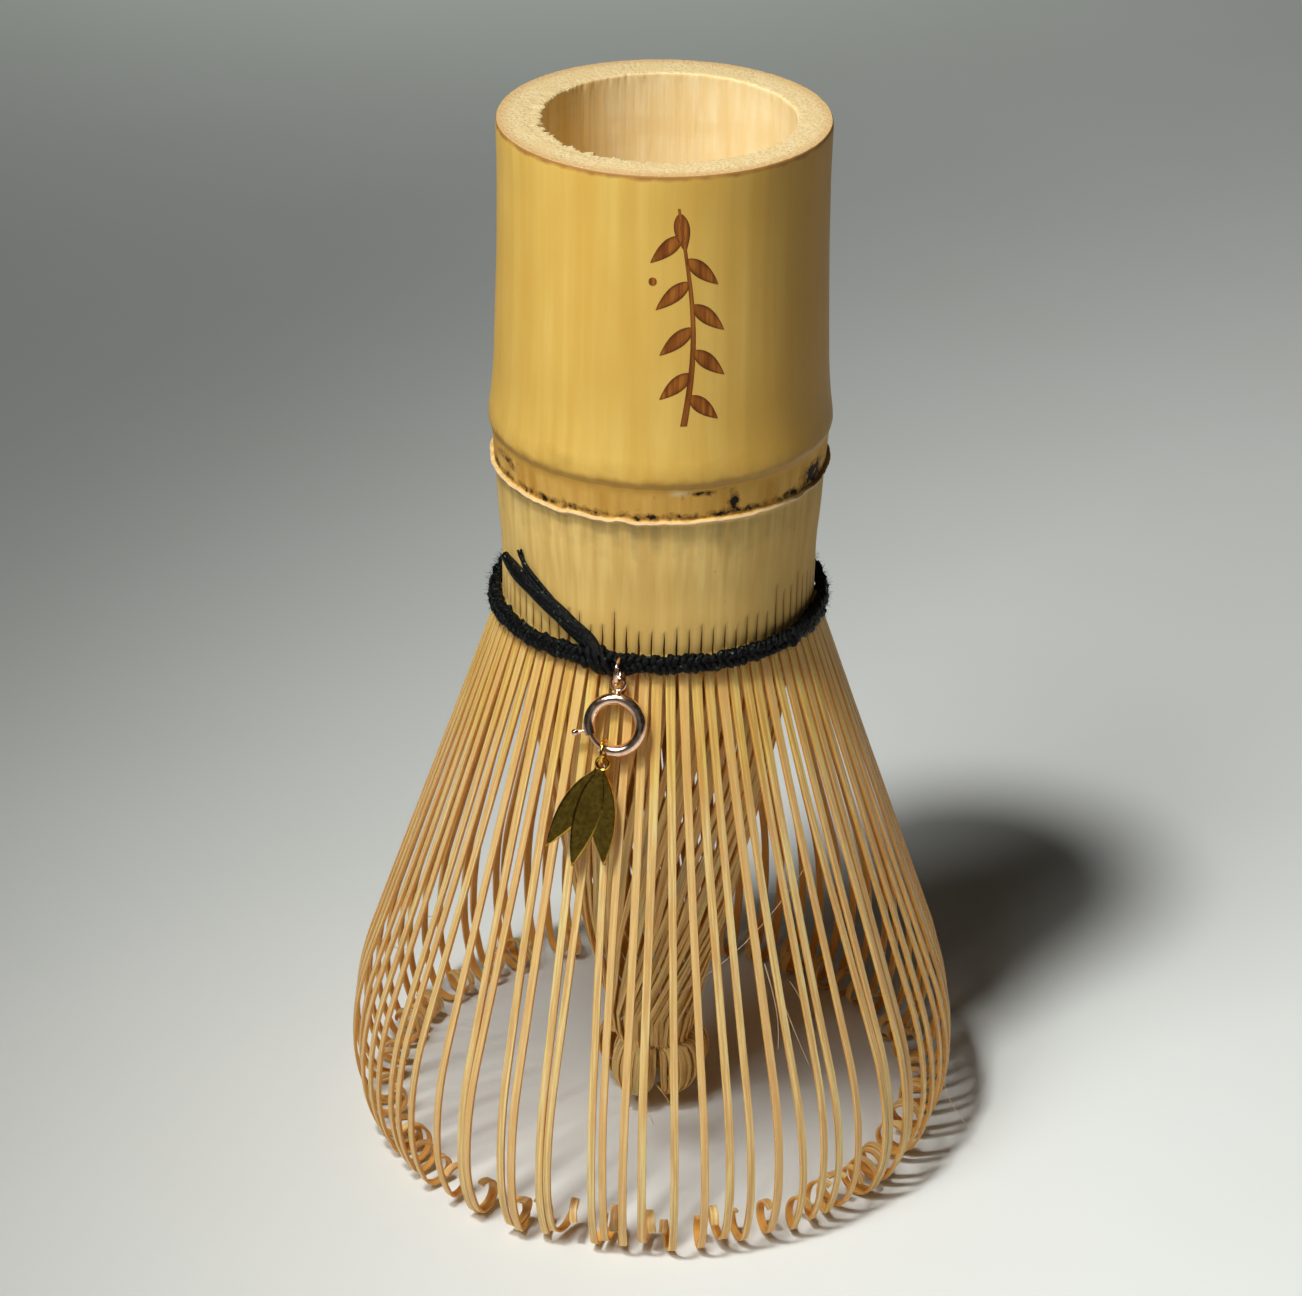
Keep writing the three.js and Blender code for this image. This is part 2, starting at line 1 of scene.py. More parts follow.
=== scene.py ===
"""Bamboo tea whisk: a split culm with curled tines, a twisted core, a cord binding and a clasp charm.

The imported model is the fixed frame. Each sub-assembly is a class that builds its meshes round that
frame and dresses them. Lengths in the fields are millimetres, and meshes are metres.
"""

import json
import logging
import math
import random
from dataclasses import dataclass, field
from enum import Enum
from typing import Callable, Iterable, Sequence

import bmesh
import bpy
from mathutils import Matrix, Vector, noise


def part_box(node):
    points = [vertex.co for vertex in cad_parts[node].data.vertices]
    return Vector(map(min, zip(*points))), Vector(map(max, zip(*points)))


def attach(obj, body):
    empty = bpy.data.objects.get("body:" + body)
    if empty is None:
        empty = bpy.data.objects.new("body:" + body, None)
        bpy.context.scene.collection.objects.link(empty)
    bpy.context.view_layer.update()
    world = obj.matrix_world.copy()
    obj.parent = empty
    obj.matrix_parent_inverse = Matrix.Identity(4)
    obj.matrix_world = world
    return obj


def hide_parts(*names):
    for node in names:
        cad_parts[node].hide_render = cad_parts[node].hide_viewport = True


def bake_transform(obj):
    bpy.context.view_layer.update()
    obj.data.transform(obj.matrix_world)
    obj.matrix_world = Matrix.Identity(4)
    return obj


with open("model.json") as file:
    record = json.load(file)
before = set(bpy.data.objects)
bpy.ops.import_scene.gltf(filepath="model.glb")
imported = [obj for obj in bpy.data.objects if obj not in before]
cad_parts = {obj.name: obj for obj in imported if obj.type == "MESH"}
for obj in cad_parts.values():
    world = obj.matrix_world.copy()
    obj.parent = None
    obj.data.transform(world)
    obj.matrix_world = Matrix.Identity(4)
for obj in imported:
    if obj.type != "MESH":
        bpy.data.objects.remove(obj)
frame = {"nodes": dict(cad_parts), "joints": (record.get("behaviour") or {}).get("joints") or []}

LOG = logging.getLogger("tea_whisk")
MM = 0.001
TINES = 80
SECTORS = 16
PITCH = math.tau / TINES
UP = Vector((0.0, 0.0, 1.0))


class Slot(Enum):
    """Material slots of the record."""

    SKIN = "bamboo_skin"
    TINE = "bamboo_tine"
    CORE = "bamboo_core"
    THREAD = "cotton_thread"
    ROSE = "rose_gold_plate"
    GOLD = "gold_plate"
    STEEL = "spring_steel"


# ---- Numbers and places ----


def blend_share(value: float, low: float, high: float) -> float:
    """Smooth share of the way from low to high.

    Args:
        value: The number to place.
        low: Where the share is 0.
        high: Where the share is 1.

    Returns:
        A number from 0 to 1 with soft ends.
    """
    share = min(max((value - low) / (high - low), 0.0), 1.0)
    return share * share * (3.0 - 2.0 * share)


def bump_at(value: float, middle: float, reach: float) -> float:
    """A soft hill, 1 at the middle and 0 past its reach on either side."""
    return 1.0 - blend_share(abs(value - middle), 0.0, reach)


def lerp(low: float, high: float, share: float) -> float:
    """The number a share of the way from low to high."""
    return low + (high - low) * share


def outward(azimuth: float) -> Vector:
    """Unit vector from the axis at an azimuth, 0 at the front and growing to the right."""
    return Vector((math.sin(azimuth), -math.cos(azimuth), 0.0))


def sideways(azimuth: float) -> Vector:
    """Unit vector round the axis, to the right as the outside is seen."""
    return Vector((math.cos(azimuth), math.sin(azimuth), 0.0))


def around(azimuth: float, radius: float, height: float) -> Vector:
    """A place by azimuth in radians, radius and height in millimetres."""
    return outward(azimuth) * radius + UP * height


def fractal(x: float, y: float, z: float, octaves: int = 3) -> float:
    """Fractal noise about 0, from -1 to 1."""
    return noise.fractal(Vector((x, y, z)), 1.0, 2.0, octaves)


def soften(points: list[Vector], passes: int) -> list[Vector]:
    """Rounds an open line by moving each inner point towards its neighbours.

    Args:
        points: The line.
        passes: How many times it is done.

    Returns:
        The rounded line, with as many points.
    """
    for _ in range(passes):
        middle = [(a + 2 * b + c) / 4 for a, b, c in zip(points, points[1:], points[2:])]
        points = [points[0], *middle, points[-1]]
    return points


def densify(keys: Sequence[tuple[float, float, float]], passes: int = 3) -> list[Vector]:
    """Fills a line of key points at even steps and rounds its corners.

    Args:
        keys: Radius, height and the step to the next key, all in millimetres.
        passes: How many rounding passes.

    Returns:
        Points with the radius in x and the height in z.
    """
    line = []
    for (r0, z0, step), (r1, z1, _) in zip(keys, keys[1:]):
        count = max(1, round(math.hypot(r1 - r0, z1 - z0) / step))
        line += [Vector((lerp(r0, r1, i / count), 0.0, lerp(z0, z1, i / count))) for i in range(count)]
    line.append(Vector((keys[-1][0], 0.0, keys[-1][1])))
    return soften(line, passes)


def smooth_route(points: Sequence[Vector], steps: int) -> list[Vector]:
    """A Catmull-Rom line through chosen points.

    Args:
        points: The points it runs through.
        steps: How many steps the whole line has.

    Returns:
        steps + 1 points.
    """
    padded = [points[0] * 2 - points[1], *points, points[-1] * 2 - points[-2]]
    route = []
    for i in range(steps + 1):
        place = i / steps * (len(points) - 1)
        first = min(int(place), len(points) - 2)
        t = place - first
        a, b, c, d = padded[first : first + 4]
        route.append(
            0.5 * (2 * b + (c - a) * t + (2 * a - 5 * b + 4 * c - d) * t**2 + (3 * b - a - 3 * c + d) * t**3)
        )
    return route


# ---- Shader nodes ----


def srgb(code: str, alpha: float = 1.0) -> tuple[float, float, float, float]:
    """Turns an sRGB hex colour into the linear colour that shaders take."""
    parts = [int(code[i : i + 2], 16) / 255 for i in (1, 3, 5)]
    linear = [p / 12.92 if p <= 0.04045 else ((p + 0.055) / 1.055) ** 2.4 for p in parts]
    return (linear[0], linear[1], linear[2], alpha)


def add_node(
    tree: bpy.types.NodeTree, kind: str, settings: dict | None = None, links: dict | None = None
) -> bpy.types.Node:
    """Adds a node with its settings and links.

    Args:
        tree: The material's node tree.
        kind: The node's type name.
        settings: Values by socket name or number, by property name, or a ramp's stops.
        links: Output sockets by the name or number of the input they feed.

    Returns:
        The new node.
    """
    node = tree.nodes.new(kind)
    for key, value in (settings or {}).items():
        if key == "stops":
            ramp = node.color_ramp
            while len(ramp.elements) < len(value):
                ramp.elements.new(0.5)
            for element, (place, colour) in zip(ramp.elements, value):
                element.position = place
                element.color = srgb(colour) if isinstance(colour, str) else (colour, colour, colour, 1.0)
        elif isinstance(key, str) and key not in node.inputs:
            setattr(node, key, value)
        else:
            node.inputs[key].default_value = value
    for key, source in (links or {}).items():
        tree.links.new(source, node.inputs[key])
    return node


@dataclass(frozen=True)
class Finish:
    """A named material with its own nodes; each kind says in layers() what feeds the shader."""

    name: str
    roughness: float = 0.5
    metallic: float = 0.0
    specular: float = 0.5
    glow: float = 0.0

    def layers(self, tree: bpy.types.NodeTree) -> dict:
        """Sockets that feed the shader, by the name of its input."""
        return {}

    def material(self) -> bpy.types.Material:
        """The material, made the first time it is asked for.

        Returns:
            The Blender material of this finish.
        """
        found = bpy.data.materials.get(self.name)
        if found:
            return found
        material = bpy.data.materials.new(self.name)
        material.use_nodes = True
        tree = material.node_tree
        tree.nodes.clear()
        settings = {
            "Roughness": self.roughness,
            "Metallic": self.metallic,
            "Specular IOR Level": self.specular,
            "Subsurface Weight": self.glow,
            "Subsurface Radius": (1.0, 0.55, 0.16),
            "Subsurface Scale": 0.9 * MM,
        }
        shader = add_node(tree, "ShaderNodeBsdfPrincipled", settings, self.layers(tree))
        add_node(tree, "ShaderNodeOutputMaterial", links={"Surface": shader.outputs[0]})
        return material


@dataclass(frozen=True)
class StreakedBamboo(Finish):
    """Bamboo whose fibres run up the culm: colours wander slowly round it and hardly at all along it.

    The eye gets soft upright streaks, a faint cloud of tone and a fine fibre relief.
    """

    dark: str = "#dfb45c"
    light: str = "#e9c068"
    cloud: str = "#dcae54"
    streak_mm: float = 1.6
    streak_length_mm: float = 60.0
    fibre_mm: float = 0.22
    relief: float = 0.25
    relief_mm: float = 0.04

    def streaks(self, tree: bpy.types.NodeTree, width: float, length: float, detail: float) -> bpy.types.NodeSocket:
        """Noise drawn out up the culm.

        Args:
            tree: The material's node tree.
            width: Streak width in millimetres.
            length: Streak length in millimetres.
            detail: Finer layers of the noise.

        Returns:
            The noise's value socket.
        """
        place = add_node(tree, "ShaderNodeTexCoord")
        scale = (1 / (width * MM), 1 / (width * MM), 1 / (length * MM))
        stretched = add_node(
            tree, "ShaderNodeMapping", {"Scale": scale}, {"Vector": place.outputs["Object"]}
        )
        texture = add_node(
            tree, "ShaderNodeTexNoise", {"Scale": 1.0, "Detail": detail}, {"Vector": stretched.outputs[0]}
        )
        return texture.outputs[0]

    def ground(self, tree: bpy.types.NodeTree) -> bpy.types.NodeSocket:
        """The streaked colour.

        Args:
            tree: The material's node tree.

        Returns:
            The colour socket.
        """
        broad = self.streaks(tree, self.streak_mm, self.streak_length_mm, 3.0)
        tones = add_node(
            tree, "ShaderNodeValToRGB", {"stops": [(0.36, self.dark), (0.64, self.light)]}, {0: broad}
        )
        clouds = self.streaks(tree, self.streak_mm * 6, self.streak_length_mm / 4, 2.0)
        share = add_node(tree, "ShaderNodeValToRGB", {"stops": [(0.45, 0.0), (0.7, 0.75)]}, {0: clouds})
        mixed = add_node(
            tree,
            "ShaderNodeMix",
            {"data_type": "RGBA", 7: srgb(self.cloud)},
            {0: share.outputs[0], 6: tones.outputs[0]},
        )
        return mixed.outputs[2]

    def fibres(self, tree: bpy.types.NodeTree) -> bpy.types.NodeSocket:
        """The fine upright relief as a bent normal."""
        fine = self.streaks(tree, self.fibre_mm, self.fibre_mm * 40, 2.0)
        settings = {"Strength": self.relief, "Distance": self.relief_mm * MM}
        return add_node(tree, "ShaderNodeBump", settings, {"Height": fine}).outputs[0]

    def height(self, tree: bpy.types.NodeTree, low: float, high: float, waver: float = 0.0) -> bpy.types.NodeSocket:
        """A mask that grows from 0 to 1 with height, with a wavering edge.

        Args:
            tree: The material's node tree.
            low: Height in millimetres where it is 0.
            high: Height in millimetres where it is 1.
            waver: How far the edge wanders, in millimetres.

        Returns:
            The mask's socket.
        """
        place = add_node(tree, "ShaderNodeTexCoord")
        split = add_node(tree, "ShaderNodeSeparateXYZ", links={0: place.outputs["Object"]})
        texture = add_node(
            tree,
            "ShaderNodeTexNoise",
            {"Scale": 700.0, "Detail": 3.0},
            {"Vector": place.outputs["Object"]},
        )
        settings = {"From Min": 0.3, "From Max": 0.7, "To Min": -waver * MM, "To Max": waver * MM}
        wander = add_node(tree, "ShaderNodeMapRange", settings, {0: texture.outputs[0]})
        moved = add_node(
            tree, "ShaderNodeMath", {"operation": "ADD"}, {0: split.outputs[2], 1: wander.outputs[0]}
        )
        settings = {"From Min": low * MM, "From Max": high * MM, "clamp": True}
        return add_node(tree, "ShaderNodeMapRange", settings, {0: moved.outputs[0]}).outputs[0]

    def tinted(self, tree: bpy.types.NodeTree, colour: bpy.types.NodeSocket, mask: bpy.types.NodeSocket, tint: str) -> bpy.types.NodeSocket:
        """The colour with a tint laid over it where the mask says."""
        settings = {"data_type": "RGBA", 7: srgb(tint)}
        return add_node(tree, "ShaderNodeMix", settings, {0: mask, 6: colour}).outputs[2]

    def product(self, tree: bpy.types.NodeTree, first: bpy.types.NodeSocket, second: bpy.types.NodeSocket) -> bpy.types.NodeSocket:
        """Two masks multiplied."""
        return add_node(tree, "ShaderNodeMath", {"operation": "MULTIPLY"}, {0: first, 1: second}).outputs[0]

    def painted(self, tree: bpy.types.NodeTree, name: str, amount: float = 1.0) -> bpy.types.NodeSocket:
        """A mask painted on the mesh, times an amount."""
        mask = add_node(tree, "ShaderNodeAttribute", {"attribute_name": name})
        settings = {"operation": "MULTIPLY", 1: amount}
        return add_node(tree, "ShaderNodeMath", settings, {0: mask.outputs["Fac"]}).outputs[0]

    def layers(self, tree: bpy.types.NodeTree) -> dict:
        """Streaked colour and fibre relief."""
        return {"Base Color": self.ground(tree), "Normal": self.fibres(tree)}


@dataclass(frozen=True)
class PolishedSkin(StreakedBamboo):
    """The culm's waxy outer skin, rubbed smooth.

    The eye gets a satin gloss, painted shade on its right side, a scorched line at the saw cut and an ochre ridge.
    """

    rim_mm: float = 105.0
    ridge_mm: float = 76.0

    def layers(self, tree: bpy.types.NodeTree) -> dict:
        """Skin colour with painted shade on its right side, the brown edge line under the rim and the ochre of the
        ridge.
        """
        colour = self.ground(tree)
        # Painted shade: darkens the skin's right side, the side away from the light.
        colour = self.tinted(tree, colour, self.painted(tree, "aged", 0.85), "#bf8a2a")
        edge = self.height(tree, self.rim_mm - 0.55, self.rim_mm - 0.2, 0.12)
        colour = self.tinted(tree, colour, edge, "#a8753a")
        above = self.height(tree, self.ridge_mm + 2.2, self.ridge_mm - 0.1, 0.5)
        colour = self.tinted(
            tree, colour, self.product(tree, above, self.painted(tree, "worn", 1.0)), "#b98d3e"
        )
        fold = self.height(tree, self.ridge_mm + 0.5, self.ridge_mm - 0.3, 0.3)
        colour = self.tinted(tree, colour, fold, "#b98a38")
        return {"Base Color": colour, "Normal": self.fibres(tree)}


@dataclass(frozen=True)
class SawnRim(StreakedBamboo):
    """The sawn end of the culm: pale cream wood stippled with the cut ends of its fibre bundles."""

    pore_mm: float = 0.3

    def layers(self, tree: bpy.types.NodeTree) -> dict:
        """Cream ground with fine brown pores, denser and darker near the skin."""
        place = add_node(tree, "ShaderNodeTexCoord")
        settings = {"Scale": 1 / (self.pore_mm * MM), "Randomness": 1.0}
        cells = add_node(tree, "ShaderNodeTexVoronoi", settings, {"Vector": place.outputs["Object"]})
        pores = add_node(
            tree, "ShaderNodeValToRGB", {"stops": [(0.1, "#b39361"), (0.5, "#dac190")]}, {0: cells.outputs[0]}
        )
        soft = add_node(
            tree, "ShaderNodeTexNoise", {"Scale": 420.0, "Detail": 4.0}, {"Vector": place.outputs["Object"]}
        )
        share = add_node(
            tree, "ShaderNodeValToRGB", {"stops": [(0.4, 0.0), (0.65, 0.8)]}, {0: soft.outputs[0]}
        )
        colour = self.tinted(tree, pores.outputs[0], share.outputs[0], "#d3b782")
        colour = self.tinted(tree, colour, self.painted(tree, "near_skin", 0.55), "#b98a50")
        settings = {"Strength": 0.6, "Distance": 0.08 * MM}
        bump = add_node(tree, "ShaderNodeBump", settings, {"Height": cells.outputs[0]})
        return {"Base Color": colour, "Normal": bump.outputs[0]}


@dataclass(frozen=True)
class ScarBand(StreakedBamboo):
    """The recessed band where the leaf sheath was cut off: matt tan with crusted black-brown residue."""

    ridge_mm: float = 76.0

    def layers(self, tree: bpy.types.NodeTree) -> dict:
        """Tan ground, brown smears and hard-edged black flecks where the residue mask is."""
        colour = self.ground(tree)
        upper = self.height(tree, self.ridge_mm - 1.7, self.ridge_mm - 0.7, 0.3)
        colour = self.tinted(tree, colour, upper, "#cf9d48")
        place = add_node(tree, "ShaderNodeTexCoord")
        settings = {"Scale": 1300.0, "Detail": 4.0, "Roughness": 0.65}
        texture = add_node(tree, "ShaderNodeTexNoise", settings, {"Vector": place.outputs["Object"]})
        residue = self.painted(tree, "residue")
        summed = add_node(
            tree, "ShaderNodeMath", {"operation": "ADD"}, {0: residue, 1: texture.outputs[0]}
        )
        smear = add_node(
            tree, "ShaderNodeValToRGB", {"stops": [(0.62, 0.0), (0.86, 0.9)]}, {0: summed.outputs[0]}
        )
        crust = add_node(
            tree, "ShaderNodeValToRGB", {"stops": [(0.86, 0.0), (0.93, 1.0)]}, {0: summed.outputs[0]}
        )
        colour = self.tinted(tree, colour, smear.outputs[0], "#7d5a2a")
        colour = self.tinted(tree, colour, crust.outputs[0], "#20140b")
        colour = self.tinted(tree, colour, self.painted(tree, "pale", 0.55), "#f0dcb4")
        return {"Base Color": colour, "Normal": self.fibres(tree)}


@dataclass(frozen=True)
class ShavedCollar(StreakedBamboo):
    """The scraped collar above the thread.

    The eye gets a matt straw, stained grey-olive under the lip, with painted shade on its right side and nearly
    black painted shade in its splits.
    """

    lip_mm: float = 72.0

    def layers(self, tree: bpy.types.NodeTree) -> dict:
        """Straw ground, painted shade on the right side, the stain, pin-prick marks and splits darkened by painted
        shade.
        """
        colour = self.ground(tree)
        # Painted shade: darkens the collar's right side, the side away from the light.
        colour = self.tinted(tree, colour, self.painted(tree, "aged", 0.6), "#b98a3c")
        stain = self.height(tree, self.lip_mm - 4.2, self.lip_mm - 0.8, 1.2)
        weave = self.streaks(tree, 0.7, 9.0, 3.0)
        thin = add_node(tree, "ShaderNodeValToRGB", {"stops": [(0.36, 0.1), (0.7, 0.5)]}, {0: weave})
        colour = self.tinted(tree, colour, self.product(tree, stain, thin.outputs[0]), "#8d7c52")
        place = add_node(tree, "ShaderNodeTexCoord")
        specks = add_node(tree, "ShaderNodeTexVoronoi", {"Scale": 380.0}, {"Vector": place.outputs["Object"]})
        dots = add_node(
            tree, "ShaderNodeValToRGB", {"stops": [(0.045, 0.7), (0.075, 0.0)]}, {0: specks.outputs[0]}
        )
        rare = add_node(tree, "ShaderNodeTexNoise", {"Scale": 150.0}, {"Vector": place.outputs["Object"]})
        where = add_node(
            tree, "ShaderNodeValToRGB", {"stops": [(0.52, 0.0), (0.6, 1.0)]}, {0: rare.outputs[0]}
        )
        colour = self.tinted(tree, colour, self.product(tree, dots.outputs[0], where.outputs[0]), "#7a5a2e")
        # Painted shade in the splits.
        colour = self.tinted(tree, colour, self.painted(tree, "split"), "#6a3a12")
        colour = self.tinted(tree, colour, self.painted(tree, "lip_edge", 0.8), "#eac6a4")
        return {"Base Color": colour, "Normal": self.fibres(tree)}


@dataclass(frozen=True)
class SplitStrip(StreakedBamboo):
    """A tine split from the culm and scraped thin: glossy yellow skin near the thread, bare straw wood below.

    Each tine has a tone of its own, cut sides darkened by painted shade, back faces given a warm painted shade, and
    grain drawn along its length.
    """

    skin: str = "#f3cd76"
    wood: str = "#fbd997"
    deep: str = "#bf7a1c"
    # Colour of the warm painted shade on the back faces, which turn in towards the axis.
    back: str = "#e0a040"
    skin_length_mm: float = 15.0

    def layers(self, tree: bpy.types.NodeTree) -> dict:
        """Grain along the strip, skin fading to wood, painted shade on the sides and a warm golden painted shade on
        the back.
        """
        along = add_node(tree, "ShaderNodeAttribute", {"attribute_name": "along"})
        across = add_node(tree, "ShaderNodeAttribute", {"attribute_name": "across"})
        tone = add_node(tree, "ShaderNodeAttribute", {"attribute_name": "tone"})
        place = add_node(
            tree,
            "ShaderNodeCombineXYZ",
            links={0: across.outputs["Fac"], 1: along.outputs["Fac"], 2: tone.outputs["Fac"]},
        )
        drawn = add_node(tree, "ShaderNodeMapping", {"Scale": (3.4, 0.12, 61.0)}, {0: place.outputs[0]})
        settings = {"Scale": 1.0, "Detail": 4.0, "Roughness": 0.6}
        grain = add_node(tree, "ShaderNodeTexNoise", settings, {"Vector": drawn.outputs[0]})
        settings = {"From Min": self.skin_length_mm - 3, "From Max": self.skin_length_mm + 3, "clamp": True}
        scraped = add_node(tree, "ShaderNodeMapRange", settings, {0: along.outputs["Fac"]})
        colour = add_node(
            tree,
            "ShaderNodeMix",
            {"data_type": "RGBA", 6: srgb(self.skin), 7: srgb(self.wood)},
            {0: scraped.outputs[0]},
        ).outputs[2]
        dark = add_node(
            tree, "ShaderNodeValToRGB", {"stops": [(0.42, 0.55), (0.62, 0.0)]}, {0: grain.outputs[0]}
        )
        colour = self.tinted(tree, colour, dark.outputs[0], self.deep)
        hue = add_node(
            tree, "ShaderNodeValToRGB", {"stops": [(0.3, 0.5), (0.75, 0.0)]}, {0: tone.outputs["Fac"]}
        )
        colour = self.tinted(tree, colour, hue.outputs[0], "#ecb876")
        # Painted shade: darkens the cut sides, where the strips shade each other.
        colour = self.tinted(tree, colour, self.painted(tree, "side", 0.5), self.deep)
        # Painted shade: tints the back faces, turned in towards the axis, a warm golden shade.
        colour = self.tinted(tree, colour, self.painted(tree, "back", 0.75), self.back)
        settings = {"Strength": 0.35, "Distance": 0.03 * MM}
        bump = add_node(tree, "ShaderNodeBump", settings, {"Height": grain.outputs[0]})
        return {"Base Color": colour, "Normal": bump.outputs[0]}


@dataclass(frozen=True)
class DyedCord(Finish):
    """Spun cotton dyed black: matt plies with a few painted green-grey glints and a soft bloom of lint."""

    ply_mm: float = 0.35

    def layers(self, tree: bpy.types.NodeTree) -> dict:
        """Near-black dye that varies by fibre, with painted pale glints where the noise peaks, and twisted fibre
        relief.
        """
        place = add_node(tree, "ShaderNodeTexCoord")
        settings = {"Scale": 1 / (self.ply_mm * MM), "Detail": 4.0, "Roughness": 0.7}
        lint = add_node(tree, "ShaderNodeTexNoise", settings, {"Vector": place.outputs["Object"]})
        # The top two stops are painted glints: pale grey-green highlights set into the base colour.
        stops = [(0.5, "#010101"), (0.6, "#050807"), (0.66, "#36423b"), (0.72, "#a3b0a4")]
        colour = add_node(tree, "ShaderNodeValToRGB", {"stops": stops}, {0: lint.outputs[0]})
        bump = add_node(
            tree, "ShaderNodeBump", {"Strength": 1.0, "Distance": 0.2 * MM}, {"Height": lint.outputs[0]}
        )
        return {"Base Color": colour.outputs[0], "Normal": bump.outputs[0]}


@dataclass(frozen=True)
class PlatedMetal(Finish):
    """Plated and tumbled jewellery metal: a mirror with faint scuffs and a little tarnish in its tone."""

    colour: str = "#d9a98c"
    tarnish: str = "#b98c70"
    scuff_mm: float = 0.5

    def layers(self, tree: bpy.types.NodeTree) -> dict:
        """Metal colour with cloudy tarnish, and gloss broken by fine scuffs."""
        place = add_node(tree, "ShaderNodeTexCoord")
        settings = {"Scale": 1 / (self.scuff_mm * MM), "Detail": 5.0}
        cloud = add_node(tree, "ShaderNodeTexNoise", settings, {"Vector": place.outputs["Object"]})
        stops = [(0.35, self.tarnish), (0.6, self.colour)]
        colour = add_node(tree, "ShaderNodeValToRGB", {"stops": stops}, {0: cloud.outputs[0]})
        settings = {
            "From Min": 0.3, "From Max": 0.7, "To Min": self.roughness * 0.7,
            "To Max": self.roughness * 1.5
        }
        gloss = add_node(tree, "ShaderNodeMapRange", settings, {0: cloud.outputs[0]})
        return {"Base Color": colour.outputs[0], "Roughness": gloss.outputs[0]}


@dataclass(frozen=True)
class BurntMark(StreakedBamboo):
    """Wood scorched by a hot stylus: red-brown in the stroke, nearly black along its edge."""

    def layers(self, tree: bpy.types.NodeTree) -> dict:
        """Fibres show through the scorch, and the painted edge is darkest."""
        fine = self.streaks(tree, 0.3, 6.0, 3.0)
        stops = [(0.36, "#7c3f10"), (0.66, "#b06a24")]
        colour = add_node(tree, "ShaderNodeValToRGB", {"stops": stops}, {0: fine})
        dark = self.tinted(tree, colour.outputs[0], self.painted(tree, "edge", 0.95), "#54280a")
        return {"Base Color": dark, "Normal": self.fibres(tree)}


@dataclass(frozen=True)
class StudioPaper(Finish):
    """Matt card that the whisk stands on: off-white with the faintest mottling."""

    colour: str = "#f0f0eb"

    def layers(self, tree: bpy.types.NodeTree) -> dict:
        """Off-white with a trace of tone."""
        place = add_node(tree, "ShaderNodeTexCoord")
        soft = add_node(tree, "ShaderNodeTexNoise", {"Scale": 30.0}, {"Vector": place.outputs["Object"]})
        stops = [(0.3, "#eeeee8"), (0.7, self.colour)]
        colour = add_node(tree, "ShaderNodeValToRGB", {"stops": stops}, {0: soft.outputs[0]})
        return {"Base Color": colour.outputs[0]}


# ---- Meshes ----


def rod_blank(sides: int, steps: int, capped: bool = True) -> bpy.types.Mesh:
    """A straight round rod of radius 1 with a ring at each whole height from 0 to steps.

    Args:
        sides: How many sides.
        steps: How many steps along it.
        capped: Whether its ends are closed.

    Returns:
        The mesh, to be bent into place.
    """
    bm = bmesh.new()
    bmesh.ops.create_cone(bm, cap_ends=capped, segments=sides, radius1=1, radius2=1, depth=1)
    long_edges = [e for e in bm.edges if abs(e.verts[0].co.z - e.verts[1].co.z) > 0.5]
    bmesh.ops.subdivide_edges(bm, edges=long_edges, cuts=steps - 1, use_grid_fill=True)
    return finished_blank(bm, steps)


def strip_blank(width: float, thickness: float, steps: int, bevel: float) -> bpy.types.Mesh:
    """A straight flat strip with eased long edges and a ring at each whole height from 0 to steps.

    Args:
        width: Its width along x, in millimetres.
        thickness: Its thickness along y, in millimetres.
        steps: How many steps along it.
        bevel: How far its long edges are eased.

    Returns:
        The mesh, to be bent into place.
    """
    bm = bmesh.new()
    bmesh.ops.create_cube(bm, size=1)
    bmesh.ops.scale(bm, vec=(width, thickness, 1), verts=bm.verts)
    long_edges = [e for e in bm.edges if abs(e.verts[0].co.z - e.verts[1].co.z) > 0.5]
    bmesh.ops.bevel(
        bm, geom=long_edges, offset=bevel, segments=1, affect="EDGES", profile=0.5, material=-1
    )
    long_edges = [e for e in bm.edges if abs(e.verts[0].co.z - e.verts[1].co.z) > 0.5]
    bmesh.ops.subdivide_edges(bm, edges=long_edges, cuts=steps - 1, use_grid_fill=True)
    return finished_blank(bm, steps)


def finished_blank(bm: bmesh.types.BMesh, steps: int) -> bpy.types.Mesh:
    """Stretches a blank so that its rings stand at whole heights, and keeps it as a mesh."""
    bmesh.ops.translate(bm, vec=(0, 0, 0.5), verts=bm.verts)
    bmesh.ops.scale(bm, vec=(1, 1, steps), verts=bm.verts)
    mesh = bpy.data.meshes.new("blank")
    bm.to_mesh(mesh)
    bm.free()
    return mesh


def add_bent(
    bm: bmesh.types.BMesh, blank: bpy.types.Mesh, place: Callable[[Vector], Vector]
) -> list[bmesh.types.BMVert]:
    """Adds a copy of a blank with each of its points moved.

    Args:
        bm: The mesh that takes the copy.
        blank: The straight blank.
        place: Where a point of the blank goes, in millimetres.

    Returns:
        The copy's vertices.
    """
    first = len(bm.verts)
    bm.from_mesh(blank)
    bm.verts.ensure_lookup_table()
    fresh = bm.verts[first:]
    for vert in fresh:
        vert.co = place(vert.co) * MM
    return fresh


@dataclass
class Ribbon:
    """Centre line of a strip or rod with the way its face looks at each ring."""

    points: list[Vector]
    facing: list[Vector]
    closed: bool = False

    def frames(self) -> list[tuple[Vector, Vector, Vector]]:
        """Place, sideways and facing vectors of each ring.

        Returns:
            One triple for each point.
        """
        result = []
        count = len(self.points)
        for i, (point, face) in enumerate(zip(self.points, self.facing)):
            if self.closed:
                ahead = self.points[(i + 1) % (count - 1)] - self.points[(i - 1) % (count - 1)]
            else:
                ahead = self.points[min(i + 1, count - 1)] - self.points[max(i - 1, 0)]
            side = ahead.cross(face).normalized()
            result.append((point, side, side.cross(ahead).normalized()))
        return result


